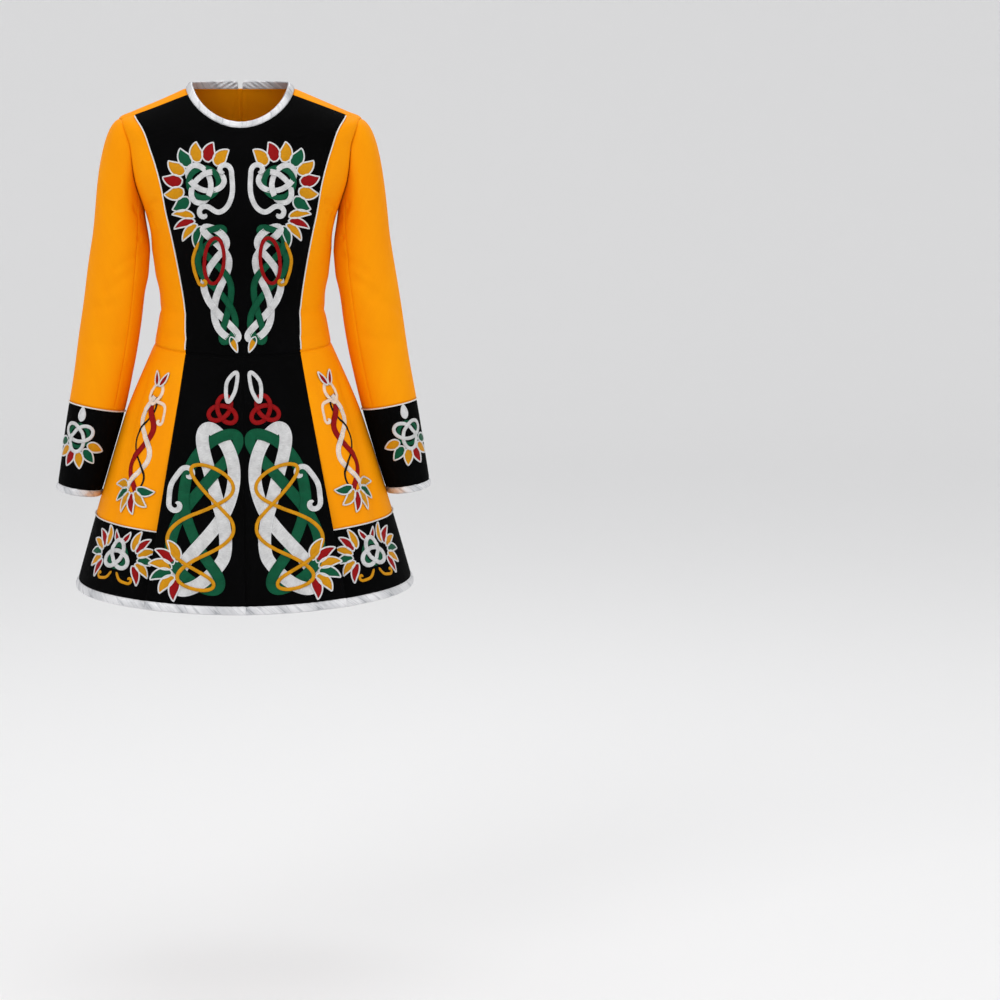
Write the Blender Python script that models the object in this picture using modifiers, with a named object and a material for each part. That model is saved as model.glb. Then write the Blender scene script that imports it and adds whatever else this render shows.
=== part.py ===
"""Irish dance dress with a back shawl, modelled as the pieces that are cut and sewn together.

The front faces -Y, +Z is up and the wearer's left is +X. The origin is the middle of the neck at the
height of the shoulder points, where the wearer holds the dress up. Lengths are metres, angles radians.
"""
import math
from functools import lru_cache

import bmesh
import bpy
import numpy as np
from mathutils import Matrix, Vector

# Cloth and seams
WALL = 0.0016                # satin or crepe with its stiff backing
BINDING_WALL = 0.0032        # folded binding, over the cloth's edge
BINDING_PROUD = 0.0006       # how far a binding stands out from the cloth beside it
SEAM_INSET = 0.00015         # each piece stops this short of its seam line
SHOULDER_INSET = 0.00035     # the same where the cloth turns over the shoulder
SEAM_SUPPORT = 0.002         # a line of points this far from a seam keeps the wall square to it
PIPING_RADIUS = 0.001
PIPING_LIFT = PIPING_RADIUS + 0.0003
SHOULDER_TURN = (0.75, 0.83)         # the rises between which the cloth turns over the shoulder
DIP_POWER = 1.5              # how a ring's height blends from its side to its front or back

# Bodice, as fractions of the way up from the waist seam to the neck seam
UNDERARM_RISE = 0.454
SHOULDER_TIP_RISE = 0.763
PRINCESS_TOP_RISE = 0.806    # where the princess seam meets the shoulder seam
SHOULDER_SEAM_TIP = math.radians(80)
SHOULDER_SEAM_NECK = math.radians(73)
SIDE_SEAM = math.radians(90)
ARMHOLE_FRONT_REACH = math.radians(13)
ARMHOLE_BACK_REACH = math.radians(21.5)
ARMHOLE_STEPS = 18           # points round an armhole and a sleeve
FRONT_SUPPORT = 0.009        # shares of a panel's width from its seam to its support line
SIDE_FRONT_SUPPORT = 0.035
BACK_SUPPORT = 0.015
PIPING_WAIST_GAP = 0.008     # the princess piping stops this much rise short of the waist seam
PIPING_SHOULDER_GAP = 0.005  # and this much short of the shoulder seam
CAP_SHARES = (0, 0.05, 0.28, 0.52, 0.76)     # rows of the sleeve cap, from the armhole down
SLEEVE_SEAM = math.radians(130)      # the sleeve's two seams, turned this far from its outer side
SLEEVE_SUPPORT = math.radians(2.4)   # turn between a sleeve seam and its support line
NECK_OPENING_HALF = 0.0032   # the neck binding's ends part this far from the centre back
NECK_BINDING_START = 0.05    # the binding starts this share of its height above the neck seam

# Sleeve, as fractions of the way down from the cap's foot to the hem
CUFF_SEAM = 0.6575
CUFF_BINDING_TOP = 0.9775

# Skirt, as fractions of the way down from the waist seam to the hem
BAND_TOP = 0.70
HEM_BINDING_TOP = 0.971
PLEAT_START = 0.18
PLEAT_LIFT = 0.006           # the front and back panels' edges stand out this far at the hem
PLEAT_TUCK = 0.009           # the side panels sink this far beneath them at the hem
PLEAT_FALL = 0.060           # width over which a side panel comes back out
UNDERLAY = 0.024             # the side panels reach this far beneath the front and back panels
UNDERLAY_START = 0.48
UNDERLAY_BLEND = 0.40
CENTRE_GROOVE = 0.003        # depth of the centre seam's groove at the hem
CENTRE_GROOVE_SHARE = 0.14   # its half width, as a share of the panel

# Shawl: an outline seen from behind, x across and z up, laid on the shawl's own rings
SHAWL_BINDING = 0.012
SHAWL_BORDER = 0.0265        # binding and border together
SHAWL_HEM_STEPS = 5          # also the steps of the centre's upper edge
SHAWL_SIDE_STEPS = 14
SHAWL_SCOOP_STEPS = 5
SHAWL_LINE_POINTS = 41       # points along each side of the outline before it is cut at the corners
SHAWL_EXTENSION = 8          # how many steps a side's line goes on past its corners
SHAWL_MOVES = 3              # an edge line is moved inwards in this many equal moves
HALVINGS = 40                # how often a search for a height on the shawl is halved
SHAWL_CENTRE_BOTTOM = (0.0, -0.698)
SHAWL_HEM_CORNER = (0.200, -0.630)
SHAWL_SHOULDER_CORNER = (0.163, -0.040)
SHAWL_NECK_CORNER = (0.078, -0.0075)
SHAWL_SCOOP_PULLS = ((0.0555, -0.0595), (0.038, -0.102))
SHAWL_SCOOP_BOTTOM = (0.0, -0.102)
SHAWL_HEM_POWER = 2.1

# Zip slider and pull tab, measured from the pin: x across, y down the back, z out from the cloth
PIN_FROM_NECK = 0.007
PIN_OVER_CLOTH = 0.0048
PIN_RADIUS = 0.0006
SLIDER_SIZE = (0.0050, 0.0080, 0.0026)
SLIDER_CENTRE = (0.0, 0.0020, -0.0032)
LUG_SIZE = (0.0009, 0.0026, 0.0036)
LUG_CENTRE = (0.00185, 0.0, -0.0005)
KNUCKLE_RADIUS = 0.0015
KNUCKLE_WIDTH = 0.0022
KNUCKLE_BORE = 0.0009
TAB_LENGTH = 0.0283
TAB_END_RADIUS = 0.0034
TAB_THICKNESS = 0.0014
TAB_TILT = math.radians(6)

BODICE_ROWS = """
    rise  half_width front  back   power z_side  z_front z_back
    0.000 0.1400     0.1120 0.0960 2.30  -0.4030 -0.416  -0.408
    0.136 0.1305     0.1010 0.0830 2.30  -0.3390 -0.345  -0.339
    0.252 0.1340     0.1110 0.0880 2.35  -0.2850 -0.290  -0.280
    0.380 0.1435     0.1270 0.0970 2.45  -0.2250 -0.230  -0.215
    0.454 0.1530     0.1265 0.1020 2.55  -0.1900 -0.198  -0.176
    0.560 0.1720     0.1190 0.1050 2.75  -0.1400 -0.158  -0.125
    0.678 0.1845     0.1070 0.1010 2.90  -0.0850 -0.121  -0.080
    0.763 0.1890     0.0985 0.0900 2.95  -0.0450 -0.098  -0.050
    0.800 0.1715     0.0957 0.0855 2.90  -0.0375 -0.091  -0.041
    0.880 0.1370     0.0900 0.0755 2.60  -0.0225 -0.078  -0.024
    1.000 0.0850     0.0830 0.0620 2.25   0.0000 -0.061  -0.001
"""

PRINCESS_ROWS = """
    rise  x
    0.000 0.0900
    0.136 0.0905
    0.252 0.0980
    0.380 0.1090
    0.454 0.1165
    0.560 0.1247
    0.678 0.1390
    0.763 0.1540
    0.806 0.1662
"""

NECK_ROWS = """
    rise half_width front  back   power z_side z_front z_back
    0.0  0.0850     0.0830 0.0620 2.25  0.0000 -0.0610 -0.0010
    0.5  0.0808     0.0814 0.0607 2.22  0.0047 -0.0567  0.0050
    1.0  0.0770     0.0800 0.0600 2.20  0.0095 -0.0525  0.0110
"""

SLEEVE_ROWS = """
    down   x      y     z       half_width half_depth tilt
    0.0000 0.1925 0.000 -0.2400 0.0440     0.0500     8.0
    0.1500 0.1995 0.002 -0.3000 0.0465     0.0510     8.0
    0.3250 0.2090 0.004 -0.3700 0.0475     0.0520     9.0
    0.5000 0.2205 0.005 -0.4400 0.0465     0.0520    10.0
    0.6575 0.2332 0.004 -0.5030 0.0446     0.0520    10.5
    0.8250 0.2484 0.002 -0.5700 0.0402     0.0520    10.5
    1.0000 0.2644 0.000 -0.6400 0.0349     0.0520     9.5
"""

SKIRT_ROWS = """
    down  half_width front  back   power z_side  z_front z_back  front_edge back_edge
    0.000 0.1400     0.1120 0.0960 2.30  -0.4030 -0.416  -0.408  0.0900     0.0930
    0.085 0.1550     0.1230 0.1130 2.28  -0.4360 -0.449  -0.441  0.0955     0.0987
    0.165 0.1690     0.1330 0.1290 2.26  -0.4670 -0.480  -0.472  0.1008     0.1040
    0.250 0.1825     0.1420 0.1420 2.25  -0.4995 -0.513  -0.506  0.1063     0.1097
    0.415 0.2035     0.1570 0.1600 2.25  -0.5630 -0.578  -0.573  0.1170     0.1207
    0.665 0.2328     0.1800 0.1830 2.28  -0.6600 -0.677  -0.674  0.1335     0.1375
    1.000 0.2700     0.2060 0.2090 2.35  -0.7890 -0.809  -0.809  0.1555     0.1600
"""

SHAWL_ROWS = """
    path  half_width back   power z_side z_back
    0.000 0.2560     0.2180 2.35  -0.720 -0.735
    0.083 0.2350     0.2010 2.35  -0.640 -0.655
    0.167 0.2100     0.1750 2.50  -0.560 -0.570
    0.236 0.1850     0.1500 2.70  -0.495 -0.505
    0.295 0.1640     0.1260 2.80  -0.440 -0.447
    0.337 0.1530     0.1120 2.80  -0.400 -0.405
    0.398 0.1460     0.1000 2.80  -0.339 -0.339
    0.452 0.1460     0.1010 2.70  -0.285 -0.280
    0.512 0.1510     0.1060 2.65  -0.225 -0.215
    0.548 0.1600     0.1100 2.65  -0.190 -0.176
    0.601 0.1770     0.1115 2.80  -0.140 -0.125
    0.657 0.1905     0.1085 2.90  -0.085 -0.080
    0.700 0.1960     0.0985 2.95  -0.042 -0.047
    0.721 0.1775     0.0930 2.90  -0.032 -0.036
    0.758 0.1435     0.0820 2.60  -0.016 -0.018
    0.814 0.0900     0.0675 2.25   0.006  0.005
"""

SHAWL_SIDE_ROWS = """
    height x
    -0.630 0.2000
    -0.546 0.1700
    -0.487 0.1505
    -0.426 0.1320
    -0.395 0.1243
    -0.364 0.1200
    -0.333 0.1195
    -0.302 0.1213
    -0.239 0.1281
    -0.176 0.1365
    -0.113 0.1465
    -0.072 0.1560
    -0.040 0.1630
"""


class Table:
    """Rows of named columns, read between the rows along a smooth curve through them."""

    def __init__(self, text):
        lines = [line.split() for line in text.strip().splitlines()]
        values = np.array(lines[1:], dtype=float).T
        self.columns = dict(zip(lines[0], values))
        self.key = values[0]
        self.last = float(values[0][-1])

    def at(self, name, position):
        """Cubic Hermite curve with parabola slopes at the inner rows."""
        position = np.asarray(position, dtype=float)
        values = self.columns[name]
        step = np.diff(self.key)
        chord = np.diff(values) / step
        inner = (step[1:] * chord[:-1] + step[:-1] * chord[1:]) / (step[1:] + step[:-1])
        slope = np.concatenate(([chord[0]], inner, [chord[-1]]))
        span = np.clip(np.searchsorted(self.key, position, side="right") - 1, 0, len(step) - 1)
        share = (position - self.key[span]) / step[span]
        rise = share * share * (3 - 2 * share)
        leave = share * (1 - share) ** 2 * step[span] * slope[span]
        arrive = share * share * (share - 1) * step[span] * slope[span + 1]
        return values[span] * (1 - rise) + values[span + 1] * rise + leave + arrive


BODICE = Table(BODICE_ROWS)
PRINCESS = Table(PRINCESS_ROWS)
NECK = Table(NECK_ROWS)
SLEEVE = Table(SLEEVE_ROWS)
SKIRT = Table(SKIRT_ROWS)
SHAWL = Table(SHAWL_ROWS)
SHAWL_SIDE = Table(SHAWL_SIDE_ROWS)

COLOURS = {
    # name: (red, green, blue, roughness, metallic), colours as on a screen
    "yellow satin": (250, 156, 2, 0.45, 0.0),
    "black crepe": (12, 12, 12, 0.85, 0.0),
    "silver lame": (190, 186, 178, 0.35, 0.6),
    "white piping": (225, 225, 222, 0.6, 0.0),
    "gold enamel": (216, 141, 7, 0.3, 0.2),
    "yellow zip": (225, 150, 20, 0.4, 0.1),
}


def smoothstep(value):
    """0 below 0, 1 above 1 and a soft S between them."""
    value = np.clip(value, 0, 1)
    return value * value * (3 - 2 * value)


def clear_scene():
    for item in list(bpy.data.objects):
        bpy.data.objects.remove(item, do_unlink=True)


def make_collection(name):
    collection = bpy.data.collections.new(name)
    bpy.context.scene.collection.children.link(collection)
    return collection


def linear(channel):
    """One screen colour channel, 0 to 255, as linear light."""
    share = channel / 255
    return share / 12.92 if share <= 0.04045 else ((share + 0.055) / 1.055) ** 2.4


def make_material(name, red, green, blue, roughness, metallic):
    material = bpy.data.materials.new(name)
    material.use_nodes = True
    shader = material.node_tree.nodes["Principled BSDF"]
    shader.inputs["Base Color"].default_value = (linear(red), linear(green), linear(blue), 1)
    shader.inputs["Roughness"].default_value = roughness
    shader.inputs["Metallic"].default_value = metallic
    return material


clear_scene()
PARTS = make_collection("irish_dance_dress")
CUTTERS = make_collection("cutters")
MATERIALS = {name: make_material(name, *values) for name, values in COLOURS.items()}


# ---- surfaces


def ring(table, path, angle):
    """Points round the body: a superellipse in plan, its height blended towards front or back.

    The angle is 0 at the centre front, a quarter turn at the wearer's left, a half turn at the back.
    """
    forward = np.cos(angle) > 0
    has_front = "front" in table.columns
    front_depth = table.at("front", path) if has_front else table.at("back", path)
    front_height = table.at("z_front", path) if has_front else table.at("z_back", path)
    depth = np.where(forward, front_depth, table.at("back", path))
    far_height = np.where(forward, front_height, table.at("z_back", path))
    side_height = table.at("z_side", path)
    power = table.at("power", path)
    across = np.abs(np.sin(angle) / table.at("half_width", path)) ** power
    through = np.abs(np.cos(angle) / depth) ** power
    radius = (across + through) ** (-1 / power)
    height = side_height + (far_height - side_height) * np.abs(np.cos(angle)) ** DIP_POWER
    return np.stack(np.broadcast_arrays(radius * np.sin(angle), -radius * np.cos(angle), height), axis=-1)


def lifted_ring(table, path, angle, lift):
    """Ring points moved out from the surface, along its normal."""
    step = 1e-4
    place = ring(table, path, angle)
    normal = np.cross(ring(table, path, angle + step) - place, ring(table, path + step, angle) - place)
    outward = np.stack([np.sin(angle), -np.cos(angle), np.zeros_like(angle)], axis=-1)
    normal *= np.sign(np.sum(normal * outward, axis=-1, keepdims=True))
    normal /= np.linalg.norm(normal, axis=-1, keepdims=True)
    return place + normal * np.asarray(lift)[..., None]


def angle_at_x(table, path, x, behind=False):
    """The ring angle at which the ring is x away from the middle plane."""
    power = table.at("power", path)
    share = np.clip(x / table.at("half_width", path), 0, 1) ** power
    depth = table.at("back" if behind else "front", path) * (1 - share) ** (1 / power)
    angle = np.arctan2(x, depth)
    return math.pi - angle if behind else angle


def shoulder_seam_angle(rise):
    share = (rise - SHOULDER_TIP_RISE) / (1 - SHOULDER_TIP_RISE)
    return SHOULDER_SEAM_TIP + (SHOULDER_SEAM_NECK - SHOULDER_SEAM_TIP) * share


def front_edge_angle(rise):
    """The black front's edge: the princess seam, then the shoulder seam up to the neck."""
    princess = angle_at_x(BODICE, rise, PRINCESS.at("x", np.minimum(rise, PRINCESS_TOP_RISE)))
    return np.where(rise < PRINCESS_TOP_RISE - 1e-6, princess, shoulder_seam_angle(rise))


def armhole(around):
    """Rise and ring angle of the armhole: around is 0 at the top and a quarter turn at the front."""
    middle = (UNDERARM_RISE + SHOULDER_TIP_RISE) / 2
    half = (SHOULDER_TIP_RISE - UNDERARM_RISE) / 2
    rise = middle + half * np.cos(around)
    share = (rise - UNDERARM_RISE) / (SHOULDER_TIP_RISE - UNDERARM_RISE)
    centre = SIDE_SEAM + (SHOULDER_SEAM_TIP - SIDE_SEAM) * share
    reach = np.where(np.sin(around) > 0, ARMHOLE_FRONT_REACH, ARMHOLE_BACK_REACH)
    return rise, centre - reach * np.sin(around)


def sleeve_ring(down, around, lift=0.0):
    """Points round the left arm: around is 0 outwards and a quarter turn at the front."""
    tilt = np.radians(SLEEVE.at("tilt", down))
    half_width = SLEEVE.at("half_width", down) + lift
    half_depth = SLEEVE.at("half_depth", down) + lift
    out = half_width * np.cos(around)
    x = SLEEVE.at("x", down) + out * np.cos(tilt)
    y = SLEEVE.at("y", down) - half_depth * np.sin(around)
    z = SLEEVE.at("z", down) + out * np.sin(tilt)
    return np.stack(np.broadcast_arrays(x, y, z), axis=-1)


def armhole_seam(around):
    """Points on the seam line, which runs straight between the points shared with the bodice."""
    turns = np.linspace(-math.pi, math.pi, ARMHOLE_STEPS + 1)
    shared = ring(BODICE, *armhole(turns))
    around = (around + math.pi) % (2 * math.pi) - math.pi
    return np.stack([np.interp(around, turns, shared[:, axis]) for axis in range(3)], axis=-1)


def sleeve_cap(share, around):
    """The cap, a cubic Hermite from the armhole to the sleeve's first ring, with hand-set pulls."""
    start = armhole_seam(around)
    end = sleeve_ring(0.0, around)
    out = np.cos(around)
    pull_x = 0.36 + 0.43 * out + 0.12 * out * out
    pull_z = -0.93 + 0.54 * np.maximum(out, 0)
    leave = np.stack([pull_x, -0.10 * np.sin(around), pull_z], axis=-1)
    leave = leave * (0.080 + 0.040 * out)[..., None]
    arrive = np.array([0.13, 0.0, -0.99]) * (0.124 + 0.066 * out)[..., None]
    rise = smoothstep(share)
    curve = start * (1 - rise) + end * rise
    return curve + leave * share * (1 - share) ** 2 + arrive * share * share * (share - 1)


def pleat_ramp(down):
    return smoothstep((down - PLEAT_START) / (1 - PLEAT_START))


def centre_panel(down, share, edge_name, behind):
    """Front or back skirt panel: share runs from the centre seam, 0, to the pleat's edge, 1."""
    edge = angle_at_x(SKIRT, down, SKIRT.at(edge_name, down), behind)
    centre = math.pi if behind else 0.0
    angle = centre + (edge - centre) * share
    groove = CENTRE_GROOVE * np.clip(1 - share / CENTRE_GROOVE_SHARE, 0, 1) ** 2
    return angle, pleat_ramp(down) * (PLEAT_LIFT * share ** 3 - groove)


def side_panel(down, share, edge_name, behind):
    """Side skirt panel: share runs from its hidden edge under the pleat, 0, to the side seam, 1."""
    edge = angle_at_x(SKIRT, down, SKIRT.at(edge_name, down), behind)
    radius = np.linalg.norm(ring(SKIRT, down, edge)[..., :2], axis=-1)
    towards_side = -1.0 if behind else 1.0
    underlay = UNDERLAY * smoothstep((down - UNDERLAY_START) / UNDERLAY_BLEND)
    start = edge - towards_side * underlay / radius
    angle = start + (SIDE_SEAM - start) * share
    away = towards_side * (angle - edge) * radius
    tuck = PLEAT_TUCK * (1 - smoothstep(away / PLEAT_FALL))
    return angle, -pleat_ramp(down) * tuck


def shawl_point(flat):
    """Lays points of the shawl's outline, x across and z up, on the shawl's rings."""
    x = flat[..., 0]
    z = flat[..., 1]
    low = np.zeros_like(x)
    high = np.full_like(x, SHAWL.last)
    for _ in range(HALVINGS):
        middle = (low + high) / 2
        height = ring(SHAWL, middle, angle_at_x(SHAWL, middle, x, behind=True))[..., 2]
        low = np.where(height < z, middle, low)
        high = np.where(height < z, high, middle)
    return ring(SHAWL, low, angle_at_x(SHAWL, low, x, behind=True))


# ---- pieces of cloth


def pulled_in(edge, inner, inset=SEAM_INSET):
    """An edge moved one seam inset towards the next line of points, square to itself."""
    along = np.gradient(edge, axis=0)
    along /= np.linalg.norm(along, axis=-1, keepdims=True)
    across = inner - edge
    across -= np.sum(across * along, axis=-1, keepdims=True) * along
    return edge + inset * across / np.linalg.norm(across, axis=-1, keepdims=True)


def with_seams(grid, closed=False, insets=None):
    """The grid with its outer rows and columns moved in from the seam lines, by row's own insets."""
    if insets is None:
        insets = np.full((len(grid), 1), SEAM_INSET)
    result = grid.copy()
    if not closed:
        result[:, 0] = pulled_in(grid[:, 0], grid[:, 1], insets)
        result[:, -1] = pulled_in(grid[:, -1], grid[:, -2], insets)
    before = result.copy()
    result[0] = pulled_in(before[0], before[1], insets[0])
    result[-1] = pulled_in(before[-1], before[-2], insets[-1])
    return result


def bodice_insets(rises):
    """Each row's seam inset, wider where the cloth turns over the shoulder."""
    turning = (rises > SHOULDER_TURN[0]) & (rises < SHOULDER_TURN[1])
    return np.where(turning, SHOULDER_INSET, SEAM_INSET)


def grid_faces(rows, columns, closed=False):
    """Quads of a grid of points; they face outwards when rows go up and columns to the left."""
    faces = []
    for row in range(rows - 1):
        for column in range(columns if closed else columns - 1):
            following = (column + 1) % columns
            near = row * columns
            far = near + columns
            faces.append((near + column, near + following, far + following, far + column))
    return faces


def add_object(name, mesh, material):
    item = bpy.data.objects.new(name, mesh)
    mesh.materials.append(MATERIALS[material])
    PARTS.objects.link(item)
    return item


def add_cloth(name, points, faces, material, wall=WALL):
    """An open surface, given its wall on the inner side by Solidify."""
    mesh = bpy.data.meshes.new(name)
    mesh.from_pydata(points.reshape(-1, 3).tolist(), [], faces)
    mesh.shade_smooth()
    item = add_object(name, mesh, material)
    solid = item.modifiers.new("wall", "SOLIDIFY")
    solid.thickness = wall
    solid.offset = -1
    return item


def add_grid(name, grid, material, wall=WALL, closed=False, insets=None):
    grid = with_seams(grid, closed, insets)
    faces = grid_faces(grid.shape[0], grid.shape[1], closed)
    return add_cloth(name, grid, faces, material, wall)


def add_pair(name, grid, material, wall=WALL, closed=False, insets=None):
    """The wearer's left piece and its mirror image on the right."""
    mirrored = grid[:, ::-1] * (-1, 1, 1)
    add_grid(name + "_left", grid, material, wall, closed, insets)
    add_grid(name + "_right", mirrored, material, wall, closed, insets)


def supported(count, support):
    """Shares 0 to 1 in equal steps, with one more close to each end."""
    return np.concatenate(([0, support], np.linspace(0, 1, count + 1)[1:-1], [1 - support, 1]))


def add_piping(name, points, closed=False):
    """A thin cord along the points, as a tube with six sides."""
    curve = bpy.data.curves.new(name, "CURVE")
    curve.dimensions = "3D"
    curve.bevel_depth = PIPING_RADIUS
    curve.bevel_resolution = 1
    curve.use_fill_caps = True
    spline = curve.splines.new("POLY")
    spline.points.add(len(points) - 1)
    for point, place in zip(spline.points, points):
        point.co = (*place, 1)
    spline.use_cyclic_u = closed
    return add_object(name, curve, "white piping")


def add_piping_pair(name, points, closed=False):
    add_piping(name + "_left", points, closed)
    add_piping(name + "_right", points * (-1, 1, 1), closed)


# ---- bodice

ARM_TURNS = np.linspace(math.pi, 0, ARMHOLE_STEPS // 2 + 1)      # underarm up to the shoulder tip
FRONT_SHARES = 2 * supported(10, FRONT_SUPPORT) - 1              # across the front, from edge to edge
BACK_SHARES = supported(8, BACK_SUPPORT)                         # from the side to the centre back
LOWER_RISES = np.linspace(0, UNDERARM_RISE, 6)
SHOULDER_RISES = np.array([PRINCESS_TOP_RISE, 0.87, 0.935, 1.0])
ARM_RISES = armhole(ARM_TURNS)[0]
PRINCESS_SHARE = (PRINCESS_TOP_RISE - UNDERARM_RISE) / (SHOULDER_TIP_RISE - UNDERARM_RISE)
PRINCESS_RISES = UNDERARM_RISE + (ARM_RISES - UNDERARM_RISE) * PRINCESS_SHARE


def build_bodice_front():
    rises = np.concatenate((LOWER_RISES, PRINCESS_RISES[1:], SHOULDER_RISES[1:]))[:, None]
    grid = ring(BODICE, rises, front_edge_angle(rises) * FRONT_SHARES)
    add_grid("bodice_front", grid, "black crepe", insets=bodice_insets(rises))


def build_bodice_side_fronts():
    """From the princess seam to the side seam and the armhole, up to the shoulder seam."""
    left_rises = np.concatenate((LOWER_RISES, PRINCESS_RISES[1:]))[:, None]
    right_rises = np.concatenate((LOWER_RISES, ARM_RISES[1:]))[:, None]
    arm_angles = armhole(ARM_TURNS[1:])[1]
    right_angles = np.concatenate((np.full(len(LOWER_RISES), SIDE_SEAM), arm_angles))[:, None]
    share = supported(5, SIDE_FRONT_SUPPORT)
    rises = left_rises + (right_rises - left_rises) * share
    start_angles = front_edge_angle(left_rises)
    grid = ring(BODICE, rises, start_angles + (right_angles - start_angles) * share)
    grid[-1] = grid[-1, 0] + (grid[-1, -1] - grid[-1, 0]) * share[:, None]
    add_pair("bodice_side_front", grid, "yellow satin", insets=bodice_insets(left_rises))


def build_bodice_backs():
    rises = np.concatenate((LOWER_RISES, ARM_RISES[1:], SHOULDER_RISES))[:, None]
    side_angles = np.full(len(LOWER_RISES), SIDE_SEAM)
    arm_angles = armhole(-ARM_TURNS[1:])[1]
    edge = np.concatenate((side_angles, arm_angles, shoulder_seam_angle(SHOULDER_RISES)))[:, None]
    grid = ring(BODICE, rises, edge + (math.pi - edge) * BACK_SHARES)
    add_pair("bodice_back", grid, "yellow satin", insets=bodice_insets(rises))


def build_neck_binding():
    """A folded band on the neck seam, with the panels' own points, open at the centre back."""
    back = SHOULDER_SEAM_NECK + (math.pi - SHOULDER_SEAM_NECK) * BACK_SHARES[1:-1]
    back[-1] = math.pi - NECK_OPENING_HALF / NECK.at("back", 0.0)
    angles = np.concatenate((-back[::-1], SHOULDER_SEAM_NECK * FRONT_SHARES, back))
    rises = np.array([NECK_BINDING_START, 0.5, 1.0])[:, None]
    grid = lifted_ring(NECK, rises, angles[None], BINDING_PROUD)
    add_grid("neck_binding", grid, "silver lame", BINDING_WALL)


def build_bodice_piping():
    rises = np.concatenate((LOWER_RISES, PRINCESS_RISES[1:]))
    rises[0] += PIPING_WAIST_GAP
    rises[-1] -= PIPING_SHOULDER_GAP
    points = lifted_ring(BODICE, rises, front_edge_angle(rises), PIPING_LIFT)
    add_piping_pair("bodice_piping", points)


# ---- sleeves


def sleeve_turns(start, stop):
    """The turns from seam to seam: the armhole's own ones, and a support line near each seam."""
    step = 2 * math.pi / ARMHOLE_STEPS
    shared = step * np.arange(math.ceil(start / step), math.floor(stop / step) + 1)
    return np.concatenate(((start, start + SLEEVE_SUPPORT), shared, (stop - SLEEVE_SUPPORT, stop)))


def sleeve_grid(turns):
    """The cap's rows and then the arm's rows, down to the cuff seam."""
    cap = [sleeve_cap(share, turns) for share in CAP_SHARES]
    arm = [sleeve_ring(down, turns) for down in np.linspace(0, CUFF_SEAM, 6)]
    return np.array(cap + arm)


def build_sleeves():
    top_turns = sleeve_turns(-SLEEVE_SEAM, SLEEVE_SEAM)
    under_turns = sleeve_turns(SLEEVE_SEAM, 2 * math.pi - SLEEVE_SEAM)
    add_pair("sleeve_top", sleeve_grid(top_turns), "yellow satin")
    add_pair("sleeve_under", sleeve_grid(under_turns), "yellow satin")


def build_cuffs():
    turns = np.linspace(0, 2 * math.pi, ARMHOLE_STEPS, endpoint=False)
    cuff = sleeve_ring(np.linspace(CUFF_SEAM, CUFF_BINDING_TOP, 4)[:, None], turns)
    binding = sleeve_ring(np.array([CUFF_BINDING_TOP, 1.0])[:, None], turns, BINDING_PROUD)
    add_pair("cuff", cuff, "black crepe", closed=True)
    add_pair("cuff_binding", binding, "silver lame", BINDING_WALL, closed=True)
    with_seams_of_sleeve = np.sort(np.concatenate((turns, (SLEEVE_SEAM, 2 * math.pi - SLEEVE_SEAM))))
    add_piping_pair("cuff_piping", sleeve_ring(CUFF_SEAM, with_seams_of_sleeve, PIPING_LIFT), closed=True)


# ---- skirt

PANEL_DOWNS = np.array([0, 0.085, 0.175, 0.27, 0.36, 0.45, 0.535, 0.62, BAND_TOP])
BAND_DOWNS = np.array([BAND_TOP, 0.79, 0.88, HEM_BINDING_TOP])
BINDING_DOWNS = np.array([HEM_BINDING_TOP, 1.0])
CENTRE_SHARES = np.array([0, 0.02, 0.07, 0.16, 0.32, 0.50, 0.68, 0.85, 0.98, 1])
SIDE_SHARES = np.array([0, 0.02, 0.09, 0.17, 0.26, 0.38, 0.55, 0.76, 0.98, 1])


def skirt_grid(panel, downs, shares, edge_name, behind, lift=0.0):
    """Rows from the bottom up and columns to the left, which faces the piece outwards."""
    angle, fold = panel(downs[::-1, None], shares, edge_name, behind)
    grid = lifted_ring(SKIRT, downs[::-1, None], angle, fold + lift)
    leftwards = angle[0, -1] > angle[0, 0]
    return grid if leftwards else grid[:, ::-1]


def build_skirt_part(part, panel, shares, edge_name, behind, cloth):
    """One panel of each side with its hem band, if it has one, its hem binding and its piping."""
    downs = PANEL_DOWNS
    if cloth == "black crepe":
        downs = np.concatenate((PANEL_DOWNS, BAND_DOWNS[1:]))
    else:
        band = skirt_grid(panel, BAND_DOWNS, shares, edge_name, behind)
        add_pair("hem_band_" + part, band, "black crepe")
        inner_shares = shares[1:-1]
        line = skirt_grid(panel, np.array([BAND_TOP]), inner_shares, edge_name, behind, PIPING_LIFT)
        add_piping_pair("band_piping_" + part, line[0])
    add_pair("skirt_" + part, skirt_grid(panel, downs, shares, edge_name, behind), cloth)
    binding = skirt_grid(panel, BINDING_DOWNS, shares, edge_name, behind, BINDING_PROUD)
    add_pair("hem_binding_" + part, binding, "silver lame", BINDING_WALL)


def build_skirt():
    build_skirt_part("front", centre_panel, CENTRE_SHARES, "front_edge", False, "black crepe")
    build_skirt_part("side_front", side_panel, SIDE_SHARES, "front_edge", False, "yellow satin")
    build_skirt_part("side_back", side_panel, SIDE_SHARES, "back_edge", True, "yellow satin")
    build_skirt_part("back", centre_panel, CENTRE_SHARES, "back_edge", True, "yellow satin")


# ---- shawl


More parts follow.
